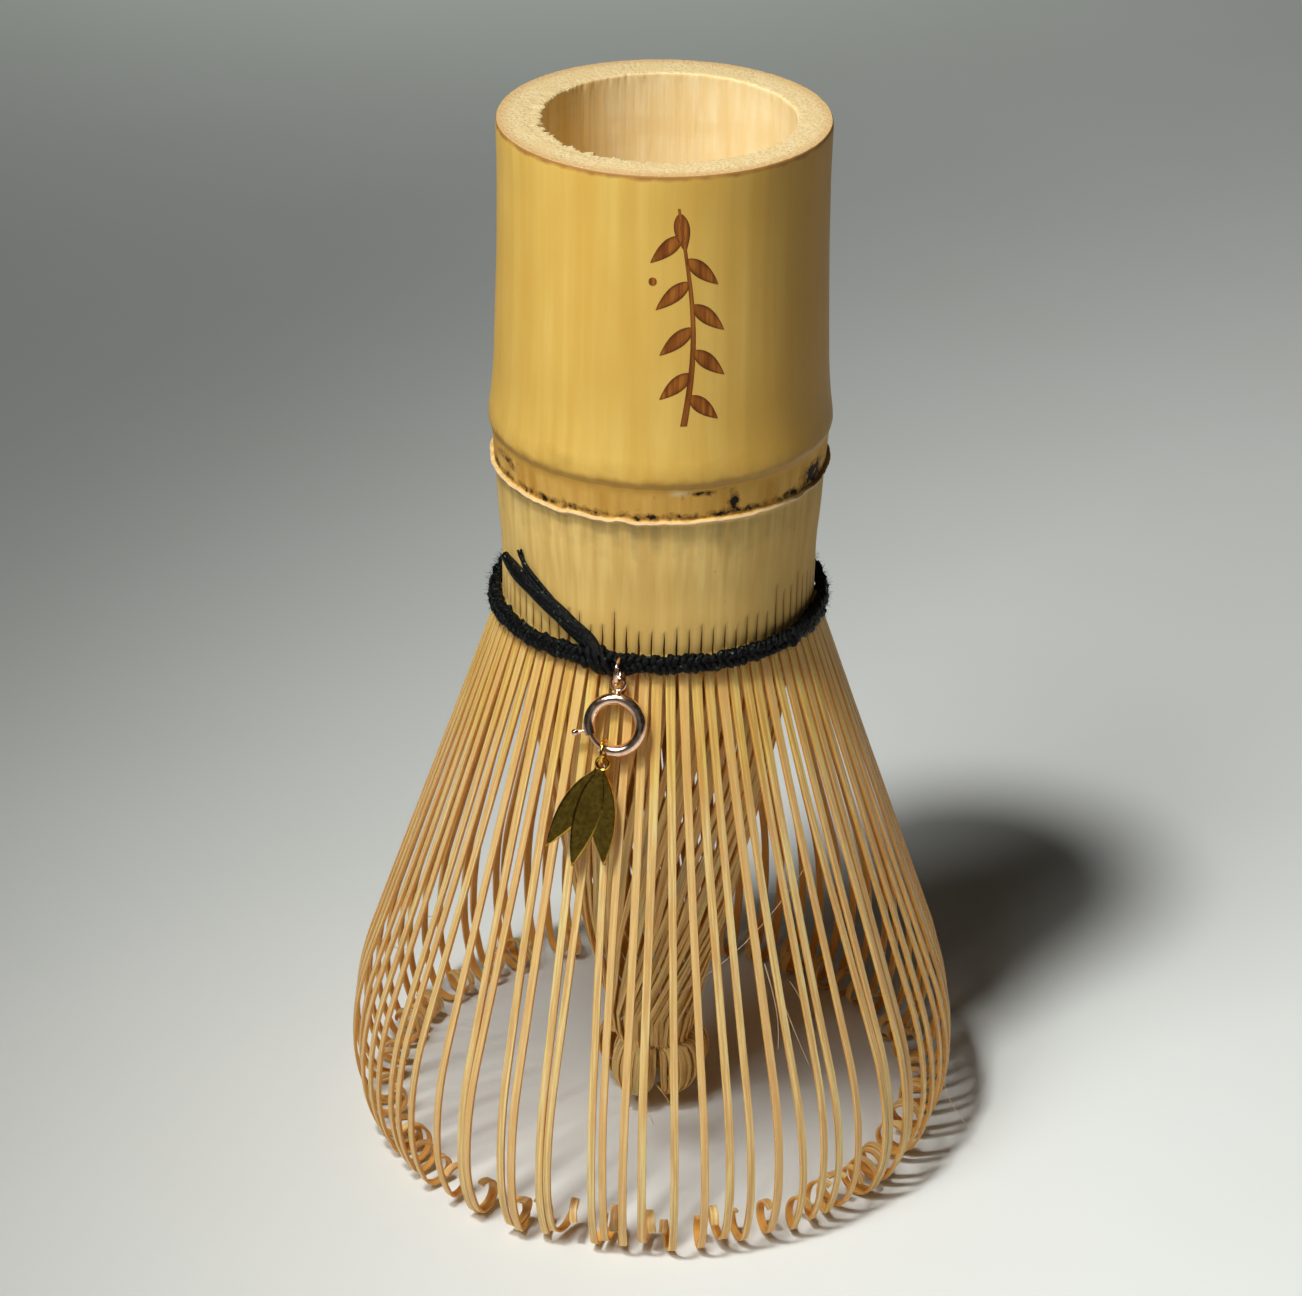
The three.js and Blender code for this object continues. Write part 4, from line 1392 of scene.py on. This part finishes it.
@dataclass
class Binding:
    """The black cord round the culm: a three-ply braid, its knot, two tails and a bloom of lint."""

    low: float = field(default_factory=lambda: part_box("binding_thread")[0].z / MM)
    high: float = field(default_factory=lambda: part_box("binding_thread")[1].z / MM)
    outer: float = field(default_factory=lambda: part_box("binding_thread")[1].x / MM)
    plies: int = 3
    periods: int = 48
    steps_per_period: int = 10
    ply: float = 0.36
    knot_azimuth: float = math.radians(-19.5)
    seed: int = 31

    @property
    def height(self) -> float:
        """Height of the cord's middle."""
        return (self.low + self.high) / 2

    @property
    def radius(self) -> float:
        """Radius of the cord's middle."""
        return self.outer - 0.55

    def finish(self) -> DyedCord:
        """The cord's finish."""
        return DyedCord("cotton cord, dyed black", roughness=0.35, specular=0.18)

    def ply_route(self, index: int) -> list[Vector]:
        """Closed centre line of one ply of the braid."""
        count = self.periods * self.steps_per_period
        route = []
        for i in range(count + 1):
            azimuth = i / count * math.tau
            phase = self.periods * azimuth + index * math.tau / self.plies
            x, y = math.cos(azimuth), math.sin(azimuth)
            rise = (0.58 + 0.3 * fractal(x * 16, y * 16, index + 7)) * math.sin(phase)
            out = 0.22 * math.sin(2 * phase) + 0.26 * fractal(x * 44, y * 44, index)
            sag = 0.08 * fractal(math.cos(azimuth) * 4, math.sin(azimuth) * 4, 3.0)
            route.append(around(azimuth, self.radius + out - 0.18 * rise, self.height + rise + sag))
        return route

    def build_ring(self) -> None:
        """Braids the plies round the culm."""
        count = self.periods * self.steps_per_period
        blank = rod_blank(8, count, capped=False)
        bm = bmesh.new()
        for index in range(self.plies):
            route = self.ply_route(index)
            facing = [outward(i / count * math.tau) for i in range(count + 1)]
            add_ribbon(
                bm, blank, Ribbon(route, facing, closed=True),
                lambda share: self.ply * (1 + 0.6 * fractal(share * 210, index * 9.0, 0.0))
            )
        bmesh.ops.remove_doubles(bm, verts=bm.verts, dist=1e-7)
        bmesh.ops.recalc_face_normals(bm, faces=bm.faces)
        piece("binding_cord", bm, [self.finish()], "culm", ["binding_thread"], crease=80)

    def add_rod(
        self, bm: bmesh.types.BMesh, points: Sequence[Vector], radius: Callable[[float], float],
        steps: int, sides: int
    ) -> None:
        """Adds a round rod along a line.

        Args:
            bm: The mesh that takes it.
            points: The points that it runs through.
            radius: Its radius by the share of its length.
            steps: How many steps along it.
            sides: How many sides.
        """
        route = smooth_route(points, steps)
        facing = [outward(math.atan2(p.x, -p.y)) for p in route]
        add_ribbon(bm, rod_blank(sides, steps), Ribbon(route, facing), radius)

    def build_knot(self) -> None:
        """Ties the knot: three snug wraps over the braid, leaning to the left."""
        bm = bmesh.new()
        for index, lean in enumerate((-0.042, 0.0, 0.042)):
            points = []
            for i in range(9):
                angle = math.radians(-115 + 230 * i / 8)
                rise = 1.15 * math.sin(angle)
                out = 0.72 * math.cos(angle)
                azimuth = self.knot_azimuth + lean - 0.03 * rise
                points.append(around(azimuth, self.radius + 0.05 + out, self.height + rise))
            self.add_rod(bm, points, lambda share: 0.34 + 0.05 * math.sin(share * 19 + index * 2), 24, 10)
        piece("cord_knot", bm, [self.finish()], "culm", ["thread_knot"], crease=80)

    def build_tails(self, handle: Handle) -> None:
        """Lays the two ends up the collar to the left of the knot.

        Args:
            handle: The culm that they lie on.
        """
        broad = [(-20, 57.9), (-25, 58.9), (-32, 60.2), (-41, 61.5), (-52, 62.5), (-63, 63.0), (-71, 63.3)]
        thin = [(-21, 58.2), (-30, 60.0), (-40, 62.0), (-47, 63.0), (-53, 64.0), (-56, 65.0), (-57, 65.6)]
        for name, places, width, plies, node in (
            ("cord_tail_broad", broad, 0.46, 5, "thread_tail_lower"),
            ("cord_tail_thin", thin, 0.2, 2, "thread_tail_upper"),
        ):
            bm = bmesh.new()
            for ply in range(plies):
                points = []
                for i, (degrees, height) in enumerate(places):
                    azimuth = math.radians(degrees)
                    turn = ply * math.tau / plies + i * 0.9
                    radius = handle.skin_radius(azimuth, height) + 0.36 + 0.1 * math.sin(turn)
                    if i == 0:
                        radius = self.radius + 0.5
                    points.append(
                        around(azimuth + 0.018 * math.cos(turn), radius, height + 0.3 * math.cos(turn) * width * 2.2)
                    )
                self.add_rod(
                    bm, points, lambda share: width * lerp(1.05, 0.6, blend_share(share, 0.75, 1.0)),
                    40, 8
                )
            piece(name, bm, [self.finish()], "culm", [node], crease=80)

    def build_lint(self) -> None:
        """Stands short stray fibres all round the cord."""
        draw = random.Random(self.seed)
        blank = rod_blank(3, 4)
        bm = bmesh.new()
        for _ in range(2200):
            azimuth = draw.uniform(0, math.tau)
            lean = draw.uniform(-1.4, 1.4)
            start = around(azimuth, self.radius + 0.5 * math.cos(lean), self.height + 0.95 * math.sin(lean))
            away = outward(azimuth) * math.cos(lean) + UP * math.sin(lean) * 1.2
            away += sideways(azimuth) * draw.uniform(-0.9, 0.9)
            length = draw.uniform(0.15, 0.6)
            curl = Vector((draw.uniform(-1, 1), draw.uniform(-1, 1), draw.uniform(-1, 1))) * 0.25
            points = [start + away * length * t / 4 + curl * (t / 4) ** 2 * length for t in range(5)]
            facing = [sideways(azimuth)] * 5
            add_ribbon(bm, blank, Ribbon(points, facing), lambda share: lerp(0.014, 0.007, share))
        piece("cord_lint", bm, [self.finish()], "culm", crease=80)

    def build(self, handle: Handle) -> None:
        """Builds the cord, its knot, tails and lint."""
        self.build_ring()
        self.build_knot()
        self.build_tails(handle)
        self.build_lint()


# ---- Charm ----


def joint_named(name: str) -> dict:
    """A joint of the frame by its name."""
    return next(j for j in frame["joints"] if j["name"] == name)


@dataclass
class Charm:
    """Jump ring, spring-ring clasp, pendant ring and a pendant of three leaves."""

    clasp: float = 2.45
    tube: float = 1.1
    channel: float = 0.68
    mouth: tuple[float, float] = (207.0, 242.0)
    slot: tuple[float, float] = (153.0, 207.0)
    bolt: tuple[float, float] = (160.0, 249.0)
    bolt_wire: float = 0.5
    trigger: float = 197.0
    trigger_reach: float = 3.85
    knob: float = 0.68
    eye: float = 0.62
    eye_wire: float = 0.31
    jump: float = 1.125
    jump_wire: float = 0.41
    link: float = 1.1
    link_wire: float = 0.32
    leaf_length: float = 9.65
    leaf_half_width: float = 1.28
    leaf_fan: float = 18.4
    leaf_thickness: float = 0.7
    pendant_tilt: float = -12.0

    def rose(self) -> PlatedMetal:
        """Rose-gold plate."""
        return PlatedMetal(
            "rose gold plate, tumbled", roughness=0.16, metallic=1.0, colour="#fbdcc6",
            tarnish="#eec0a2"
        )

    def gold(self) -> PlatedMetal:
        """Yellow gold plate."""
        return PlatedMetal(
            "gold plate, mirror", roughness=0.13, metallic=1.0, colour="#e6bc52", tarnish="#c59c3c"
        )

    def clasp_frame(self) -> Matrix:
        """Frame of the clasp: its centre, x across, y up to the eye and z out from the tines.

        Returns:
            A matrix from clasp millimetres to the row frame in metres.
        """
        joint = joint_named("clasp_trigger")
        centre = Vector(joint["pos_m"])
        low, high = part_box("clasp_eye")
        out = -Vector(joint["axis"]).normalized()
        up = ((low + high) / 2 - centre)
        up = (up - out * up.dot(out)).normalized()
        turn = Matrix((up.cross(out), up, out)).transposed().to_4x4()
        return Matrix.Translation(centre) @ turn @ Matrix.Scale(MM, 4)

    def on_circle(self, degrees: float, radius: float) -> Vector:
        """A place on a circle in the clasp's own plane."""
        angle = math.radians(degrees)
        return Vector((radius * math.cos(angle), radius * math.sin(angle), 0.0))

    def arc_rod(
        self, bm: bmesh.types.BMesh, radius: float, wire: float, start: float, end: float, steps: int,
        sides: int
    ) -> list[bmesh.types.BMVert]:
        """Adds a round wire bent on an arc about the z axis.

        Args:
            bm: The mesh that takes it.
            radius: The arc's radius.
            wire: The wire's diameter.
            start: Where it starts, in degrees.
            end: Where it ends, in degrees.
            steps: How many steps along it.
            sides: How many sides.

        Returns:
            Its vertices.
        """
        before = set(bm.verts)
        turn = Matrix.Rotation(math.radians(90), 4, "X")
        made = bmesh.ops.create_circle(
            bm, cap_ends=True, segments=sides, radius=wire / 2,
            matrix=Matrix.Translation((radius, 0, 0)) @ turn
        )
        rotation = Matrix.Rotation(math.radians(start), 3, "Z")
        bmesh.ops.rotate(bm, cent=(0, 0, 0), matrix=rotation, verts=made["verts"])
        faces = list({f for v in made["verts"] for f in v.link_faces})
        edges = list({e for v in made["verts"] for e in v.link_edges})
        bmesh.ops.spin(
            bm,
            geom=[*made["verts"], *edges, *faces],
            cent=(0, 0, 0),
            axis=(0, 0, 1),
            angle=math.radians(end - start),
            steps=steps,
            use_merge=False,
            use_duplicate=False,
        )
        return [v for v in bm.verts if v not in before]

    def settle(self, bm: bmesh.types.BMesh, matrix: Matrix) -> None:
        """Points a metal piece's faces out and moves it to its place."""
        bmesh.ops.remove_doubles(bm, verts=bm.verts, dist=1e-5)
        bmesh.ops.recalc_face_normals(bm, faces=bm.faces)
        bmesh.ops.transform(bm, matrix=matrix, verts=bm.verts)

    def build_clasp(self) -> None:
        """Bends the tube, opens its slot and solders on the eye."""
        bm = bmesh.new()
        steps, sides = 65, 24
        start, end = self.mouth[1], self.mouth[0] + 360
        turn = Matrix.Translation((self.clasp, 0, 0)) @ Matrix.Rotation(math.radians(90), 4, "X")
        walls = []
        for wire in (self.tube, self.channel):
            made = bmesh.ops.create_circle(bm, segments=sides, radius=wire / 2, matrix=turn)
            ring = made["verts"]
            bmesh.ops.rotate(
                bm, cent=(0, 0, 0), matrix=Matrix.Rotation(math.radians(start), 3, "Z"), verts=ring
            )
            first = [e for e in bm.edges if e.verts[0] in ring and e.verts[1] in ring]
            swept = bmesh.ops.spin(
                bm, geom=first, cent=(0, 0, 0), axis=(0, 0, 1), angle=math.radians(end - start), steps=steps,
                use_merge=False, use_duplicate=False,
            )
            last = [g for g in swept["geom_last"] if isinstance(g, bmesh.types.BMEdge)]
            walls.append((first, last))
        for i in range(2):
            bmesh.ops.bridge_loops(bm, edges=[*walls[0][i], *walls[1][i]])
        self.cut_slot(bm)
        self.settle(bm, self.clasp_frame())
        piece("clasp_ring", bm, [self.rose()], "clasp", ["clasp_tube"], crease=38)
        eye = bmesh.new()
        self.arc_rod(eye, self.eye, self.eye_wire, 0, 360, 40, 14)
        rise = self.clasp + self.tube / 2 + 0.06 + self.eye + self.eye_wire / 2
        bmesh.ops.translate(eye, vec=(0, rise, 0), verts=eye.verts)
        solder = Matrix.Translation((0, self.clasp + self.tube / 2 + 0.06, 0))
        solder @= Matrix.Diagonal((0.3, 0.16, 0.25, 1))
        bmesh.ops.create_uvsphere(eye, u_segments=16, v_segments=10, radius=1, matrix=solder)
        self.settle(eye, self.clasp_frame())
        piece("clasp_eye_ring", eye, [self.rose()], "clasp", ["clasp_eye"], crease=60)

    def cut_slot(self, bm: bmesh.types.BMesh) -> None:
        """Opens the trigger's slot through the tube's outer side.

        Args:
            bm: The tube, about the z axis in millimetres.
        """
        gone = []
        for face in bm.faces:
            middle = face.calc_center_median()
            degrees = math.degrees(math.atan2(middle.y, middle.x)) % 360
            away = math.hypot(middle.x, middle.y) - self.clasp
            if not self.slot[0] < degrees < self.slot[1] - 4:
                continue
            if away > 0.1 and abs(math.atan2(middle.z, away)) < math.radians(30):
                gone.append(face)
        bmesh.ops.delete(bm, geom=gone, context="FACES_ONLY")
        bmesh.ops.delete(bm, geom=[e for e in bm.edges if not e.link_faces], context="EDGES")
        bmesh.ops.delete(bm, geom=[v for v in bm.verts if not v.link_edges], context="VERTS")
        rims = [e for e in bm.edges if e.is_boundary]
        bmesh.ops.bridge_loops(bm, edges=rims)

    def build_bolt(self) -> None:
        """Bends the sliding bolt and sets its trigger pin and knob."""
        bm = bmesh.new()
        self.arc_rod(bm, self.clasp, self.bolt_wire, self.bolt[0], self.bolt[1], 24, 16)
        pin_end = self.on_circle(self.trigger, self.trigger_reach)
        pin_start = self.on_circle(self.trigger, self.clasp)
        lie = (pin_end - pin_start).to_track_quat("Z", "Y").to_matrix().to_4x4()
        aim = Matrix.Translation((pin_start + pin_end) / 2) @ lie
        bmesh.ops.create_cone(
            bm, cap_ends=True, segments=16, radius1=0.17, radius2=0.2,
            depth=(pin_end - pin_start).length, matrix=aim
        )
        ball = Matrix.Translation(pin_end)
        bmesh.ops.create_uvsphere(bm, u_segments=20, v_segments=12, radius=self.knob / 2, matrix=ball)
        collar = Matrix.Translation(pin_end.lerp(pin_start, 0.24)) @ aim.to_3x3().to_4x4()
        bmesh.ops.create_cone(
            bm, cap_ends=True, segments=16, radius1=0.26, radius2=0.22, depth=0.12, matrix=collar
        )
        self.settle(bm, self.clasp_frame())
        piece("clasp_bolt_and_trigger", bm, [self.rose()], "bolt", ["clasp_bolt"], crease=45)

    def build_rings(self) -> None:
        """Closes the jump ring and the pendant's ring."""
        for name, node, body, radius, wire, gap, metal, slot in (
            (
                "thread_jump_ring", "jump_ring", "jump_ring", self.jump, self.jump_wire, 2.5,
                self.rose(), Slot.ROSE
            ),
            (
                "pendant_jump_ring", "pendant_ring", "pendant_link", self.link, self.link_wire, 3.0,
                self.gold(), Slot.GOLD
            ),
        ):
            bm = bmesh.new()
            self.arc_rod(bm, radius, wire, 40 + gap, 400 - gap, 60, 16)
            low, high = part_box(node)
            joint = joint_named("clasp_swing" if name == "thread_jump_ring" else "pendant_ring_swing")
            axis = Vector(joint["axis"]).normalized()
            up = UP if name == "thread_jump_ring" else self.clasp_frame().to_3x3().col[1].normalized()
            turn = Matrix((up.cross(axis), up, axis)).transposed().to_4x4()
            self.settle(bm, Matrix.Translation((low + high) / 2) @ turn @ Matrix.Scale(MM, 4))
            piece(name, bm, [metal], body, [node], crease=50)

    def add_leaf(
        self, bm: bmesh.types.BMesh, fan: float, length: float, thickness: float, half: float
    ) -> None:
        """Adds one leaf that hangs from the origin.

        Args:
            bm: The mesh that takes it.
            fan: How far it leans, in degrees.
            length: Its length.
            thickness: Its thickness.
            half: Half its greatest width.
        """
        before = set(bm.verts)
        grid = bmesh.ops.create_grid(bm, x_segments=6, y_segments=18, size=0.5)
        for vert in grid["verts"]:
            down = 0.5 - vert.co.y
            swell = math.sin(math.pi * min(down, 1.0) ** 0.85) ** 0.8 if 0 < down < 1 else 0.0
            waist = max(swell, 0.42 * (1 - blend_share(down, 0.0, 0.3)), 0.03)
            vert.co = Vector((vert.co.x * 2 * half * waist, -down * length, 0.0))
        faces = [f for f in bm.faces if all(v not in before for v in f.verts)]
        bmesh.ops.solidify(bm, geom=faces, thickness=thickness)
        fresh = [v for v in bm.verts if v not in before]
        middle = sum((v.co.z for v in fresh)) / len(fresh)
        bmesh.ops.translate(bm, vec=(0, 0, -middle), verts=fresh)
        rims = [
            e
            for e in bm.edges
            if e.verts[0] not in before and len(e.link_faces) == 2 and e.calc_face_angle(0) > math.radians(50)
        ]
        bmesh.ops.bevel(bm, geom=rims, offset=0.17, segments=2, affect="EDGES", profile=0.5, material=-1)
        fresh = [v for v in bm.verts if v not in before]
        turn = Matrix.Rotation(math.radians(fan), 3, "Z")
        bmesh.ops.rotate(bm, cent=(0, 0, 0), matrix=turn, verts=fresh)

    def build_pendant(self) -> None:
        """Joins three leaves at a drilled stem."""
        bm = bmesh.new()
        self.add_leaf(bm, 0, self.leaf_length, self.leaf_thickness, self.leaf_half_width)
        for side in (-1, 1):
            self.add_leaf(
                bm, side * self.leaf_fan, self.leaf_length * 0.94, self.leaf_thickness * 0.8,
                self.leaf_half_width
            )
        bmesh.ops.recalc_face_normals(bm, faces=bm.faces)
        joint = joint_named("pendant_swing")
        low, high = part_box("pendant")
        swing = self.clasp_frame()
        tilt = Matrix.Rotation(math.radians(self.pendant_tilt), 4, "Z")
        place = Matrix.Translation(Vector(joint["pos_m"]) - swing.translation) @ swing @ tilt
        ring = bmesh.new()
        self.arc_rod(ring, 0.58, 0.36, 0, 360, 36, 12)
        bmesh.ops.scale(ring, vec=(1, 1, 1.7), verts=ring.verts)
        self.settle(ring, Matrix.Identity(4))
        mesh = bpy.data.meshes.new("stem")
        ring.to_mesh(mesh)
        ring.free()
        bmesh.ops.translate(bm, vec=(0, -0.5, 0), verts=bm.verts)
        bm.from_mesh(mesh)
        bmesh.ops.transform(bm, matrix=place, verts=bm.verts)
        piece("leaf_pendant", bm, [self.gold()], "pendant", ["pendant"], crease=30)
        LOG.info("pendant hangs between %s and %s", tuple(low), tuple(high))

    def dress_spring(self) -> None:
        """Gives the coil spring inside the tube its finish."""
        steel = PlatedMetal(
            "spring steel wire", roughness=0.25, metallic=1.0, colour="#b9b7b2", tarnish="#8f8d88"
        )
        node = frame["nodes"]["clasp_spring"]
        node.data.materials.clear()
        node.data.materials.append(steel.material())

    def build(self) -> None:
        """Builds all the metal."""
        self.build_clasp()
        self.build_bolt()
        self.build_rings()
        self.build_pendant()
        self.dress_spring()


# ---- Ornament and stray fibres ----


@dataclass
class BurntSprig:
    """A leafy sprig scorched into the handle, with one small dot beside it."""

    azimuth: float = math.radians(7)
    top: float = 102.0
    bottom: float = 81.5
    leaves: int = 9
    leaf_length: float = 3.4
    leaf_width: float = 1.35
    depth: float = 0.06

    def lay(self, handle: Handle, across: float, height: float, depth: float) -> Vector:
        """A place on the skin.

        Args:
            handle: The culm.
            across: Distance round the skin from the sprig's middle, in millimetres.
            height: Height in millimetres.
            depth: How far under the surface, in millimetres.

        Returns:
            The place in metres.
        """
        azimuth = self.azimuth + across / 15.2
        return around(azimuth, handle.skin_radius(azimuth, height) - depth, height) * MM

    def add_mark(
        self, bm: bmesh.types.BMesh, layer: bmesh.types.BMLayerItem, handle: Handle, shape: Callable[
            [float, float], tuple[float, float]
        ]
    ) -> None:
        """Adds one scorched mark to the skin.

        Args:
            bm: The mesh that takes it.
            layer: The layer of the edge mask.
            handle: The culm.
            shape: Distance across and height of a place given from 0 to 1 along and -1 to 1 across.
        """
        before = set(bm.verts)
        grid = bmesh.ops.create_grid(bm, x_segments=6, y_segments=14, size=0.5)
        faces = list({f for v in grid["verts"] for f in v.link_faces})
        bmesh.ops.solidify(bm, geom=faces, thickness=1.0)
        fresh = [v for v in bm.verts if v not in before]
        low = min(v.co.z for v in fresh)
        for vert in fresh:
            along, side = vert.co.y + 0.5, vert.co.x * 2
            deep = 0.1 if vert.co.z > low + 0.5 else 0.0
            vert[layer] = blend_share(abs(side), 0.5, 0.95)
            across, height = shape(along, side)
            vert.co = self.lay(handle, across, height, deep - 0.015)

    def stem(self, along: float) -> tuple[float, float]:
        """The stem's place across and up the handle."""
        return 0.9 * math.sin(along * 3.6 - 0.6), lerp(self.top, self.bottom, along)

    def build(self, handle: Handle) -> None:
        """Scorches stem, leaves and dot.

        Args:
            handle: The culm that they lie on.
        """
        bm = bmesh.new()
        layer = bm.verts.layers.float.new("edge")

        def stroke(along: float, side: float) -> tuple[float, float]:
            """A point of the stroke, from its shares along and across."""
            x, z = self.stem(along)
            return x + side * lerp(0.12, 0.3, along), z

        self.add_mark(bm, layer, handle, stroke)
        for i in range(self.leaves):
            at = lerp(0.02, 0.86, i / (self.leaves - 1))
            side_of = -1 if i % 2 else 1
            x0, z0 = self.stem(at)
            lean = math.radians(52 if i else 8) * side_of
            length = self.leaf_length * (0.72 + 0.35 * math.sin(math.pi * (0.25 + 0.6 * at)))

            def leaf(along: float, side: float) -> tuple[float, float]:
                """A point of the leaf, from its shares along and across."""
                half = self.leaf_width / 2 * math.sin(math.pi * along**0.8) ** 0.9 + 0.03
                down = along * length
                bend = 0.5 * side_of * along**2
                across = x0 + (down * math.sin(lean) + side * half * math.cos(lean)) + bend * 0.2
                return across, z0 - down * math.cos(lean) + side * half * math.sin(lean) - 0.35 * along**2

            self.add_mark(bm, layer, handle, leaf)

        def dot(along: float, side: float) -> tuple[float, float]:
            """A point of the dot, from its shares along and across."""
            reach = math.sqrt(max(1 - (2 * along - 1) ** 2, 0.0)) * 0.36
            return -2.75 + side * reach, 95.2 + (along - 0.5) * 0.8

        self.add_mark(bm, layer, handle, dot)
        bmesh.ops.remove_doubles(bm, verts=bm.verts, dist=2e-6)
        bmesh.ops.recalc_face_normals(bm, faces=bm.faces)
        finish = BurntMark("bamboo skin, scorched", roughness=0.7, specular=0.2)
        piece("burnt_sprig", bm, [finish], "culm", crease=60)


@dataclass
class StrayFibres:
    """Hair-thin fibres that the knife left loose inside the crown."""

    seed: int = 77

    def build(self) -> None:
        """Bends each fibre and lays it where the splitting tore it."""
        draw = random.Random(self.seed)
        blank = rod_blank(4, 8)
        bm = bmesh.new()
        starts = [
            (around(math.radians(58), 17.5, 33), Vector((-14.5, -6, -13))),
            (around(math.radians(30), 21.0, 27), Vector((1.5, -1.0, -9))),
            (around(math.radians(33), 22.0, 24), Vector((3.0, -2.0, -7))),
            (around(math.radians(38), 25.0, 20), Vector((-2.5, 0.0, 6))),
            (around(math.radians(-8), 5.6, 6), Vector((1.0, -1.5, -5.4))),
            (around(math.radians(6), 5.2, 4), Vector((2.2, -2.4, -3.4))),
            (around(math.radians(75), 29.5, 9), Vector((3.0, -2.5, -6))),
            (around(math.radians(-95), 28.5, 16), Vector((3.5, 1.5, -2))),
            (around(math.radians(-120), 27.0, 12), Vector((2.5, -2.5, 3))),
        ]
        for start, run in starts:
            bow = Vector((draw.uniform(-1, 1), draw.uniform(-1, 1), draw.uniform(-1, 1))) * run.length * 0.08
            points = [start + run * t / 8 + bow * math.sin(math.pi * t / 8) for t in range(9)]
            facing = [Vector((0.3, -0.9, 0.2))] * 9
            add_ribbon(bm, blank, Ribbon(points, facing), lambda share: lerp(0.05, 0.025, share))
        finish = StreakedBamboo("bamboo fibre, torn", roughness=0.6, dark="#e0caa0", light="#f4e6c8")
        piece("stray_fibres", bm, [finish], "culm", crease=80)


# ---- Studio ----


@dataclass
class Studio:
    """Camera, paper floor and lights."""

    camera_place: tuple[float, float, float] = (-0.628, -326.83, 224.46)
    camera_dip: float = 27.949
    camera_roll: float = 0.712
    lens: float = 106.55
    key_place: tuple[float, float, float] = (-104.0, -124.0, 410.0)
    key_target: tuple[float, float, float] = (467.0, 92.0, -383.0)
    key_watts: float = 5.5
    key_cone: float = 76.0
    bloom_place: tuple[float, float, float] = (-200.0, -235.0, 430.0)
    bloom_target: tuple[float, float, float] = (2800.0, -70.0, -570.0)
    bloom_watts: float = 1.75
    backdrop_place: tuple[float, float, float] = (-40.0, 420.0, 250.0)

    def build_camera(self) -> None:
        """Sets the camera on its stand."""
        data = bpy.data.cameras.new("camera")
        data.lens = self.lens
        data.sensor_width = 36.0
        data.clip_start = 0.01
        data.clip_end = 20.0
        camera = bpy.data.objects.new("camera", data)
        bpy.context.scene.collection.objects.link(camera)
        dip = Matrix.Rotation(math.radians(90 - self.camera_dip), 4, "X")
        roll = Matrix.Rotation(math.radians(self.camera_roll), 4, "Z")
        camera.matrix_world = Matrix.Translation(Vector(self.camera_place) * MM) @ dip @ roll
        bpy.context.scene.camera = camera

    def build_floor(self) -> None:
        """Lays the paper."""
        bm = bmesh.new()
        bmesh.ops.create_grid(bm, x_segments=4, y_segments=4, size=3.0)
        mesh = bpy.data.meshes.new("paper_floor")
        bm.to_mesh(mesh)
        bm.free()
        floor = bpy.data.objects.new("paper_floor", mesh)
        bpy.context.scene.collection.objects.link(floor)
        mesh.materials.append(StudioPaper("paper card, matt", roughness=0.9, specular=0.1).material())

    def add_area(
        self, name: str, place: Sequence[float], target: Sequence[float], size: float, power: float,
        tint: str
    ) -> None:
        """Hangs a soft square light.

        Args:
            name: Its name.
            place: Where it hangs, in millimetres.
            target: What it looks at, in millimetres.
            size: Its side in millimetres.
            power: Its power in watts.
            tint: Its colour.
        """
        data = bpy.data.lights.new(name, "AREA")
        data.size = size * MM
        data.energy = power
        data.color = srgb(tint)[:3]
        light = bpy.data.objects.new(name, data)
        bpy.context.scene.collection.objects.link(light)
        aim = Vector(target) - Vector(place)
        turn = aim.to_track_quat("-Z", "Y").to_matrix().to_4x4()
        light.matrix_world = Matrix.Translation(Vector(place) * MM) @ turn

    def build_lights(self) -> None:
        """Hangs the key, the fill and the room's own glow."""
        key = bpy.data.lights.new("key", "SPOT")
        key.energy = self.key_watts
        key.spot_size = math.radians(self.key_cone)
        key.spot_blend = 1.0
        key.shadow_soft_size = 0.024
        key.color = srgb("#fcffff")[:3]
        lamp = bpy.data.objects.new("key", key)
        bpy.context.scene.collection.objects.link(lamp)
        aim = Vector(self.key_target) - Vector(self.key_place)
        lamp.matrix_world = (
            Matrix.Translation(Vector(self.key_place) * MM)
            @ aim.to_track_quat("-Z", "Y").to_matrix().to_4x4()
        )
        self.add_area("bloom", self.bloom_place, self.bloom_target, 230, self.bloom_watts, "#fcffff")
        self.add_area("fill card", (-250, -900, 260), (0, 0, 50), 800, 0.16, "#eef2f4")
        self.add_area("backdrop", self.backdrop_place, (-40, 600, 0), 160, 0.3, "#eef6f2")
        world = bpy.data.worlds.new("studio")
        world.use_nodes = True
        world.node_tree.nodes["Background"].inputs[0].default_value = srgb("#c6cecb")
        world.node_tree.nodes["Background"].inputs[1].default_value = 0.034
        bpy.context.scene.world = world
        bpy.context.scene.view_settings.view_transform = "Standard"


def main() -> None:
    """Builds the studio and every sub-assembly."""
    logging.basicConfig(level=logging.INFO, format="%(name)s: %(message)s")
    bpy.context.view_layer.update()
    studio = Studio()
    studio.build_camera()
    studio.build_floor()
    studio.build_lights()
    handle = Handle()
    handle.build()
    OuterTines().build()
    Core().build()
    Binding().build(handle)
    Charm().build()
    BurntSprig().build(handle)
    StrayFibres().build()


if __name__ == "__main__":
    main()
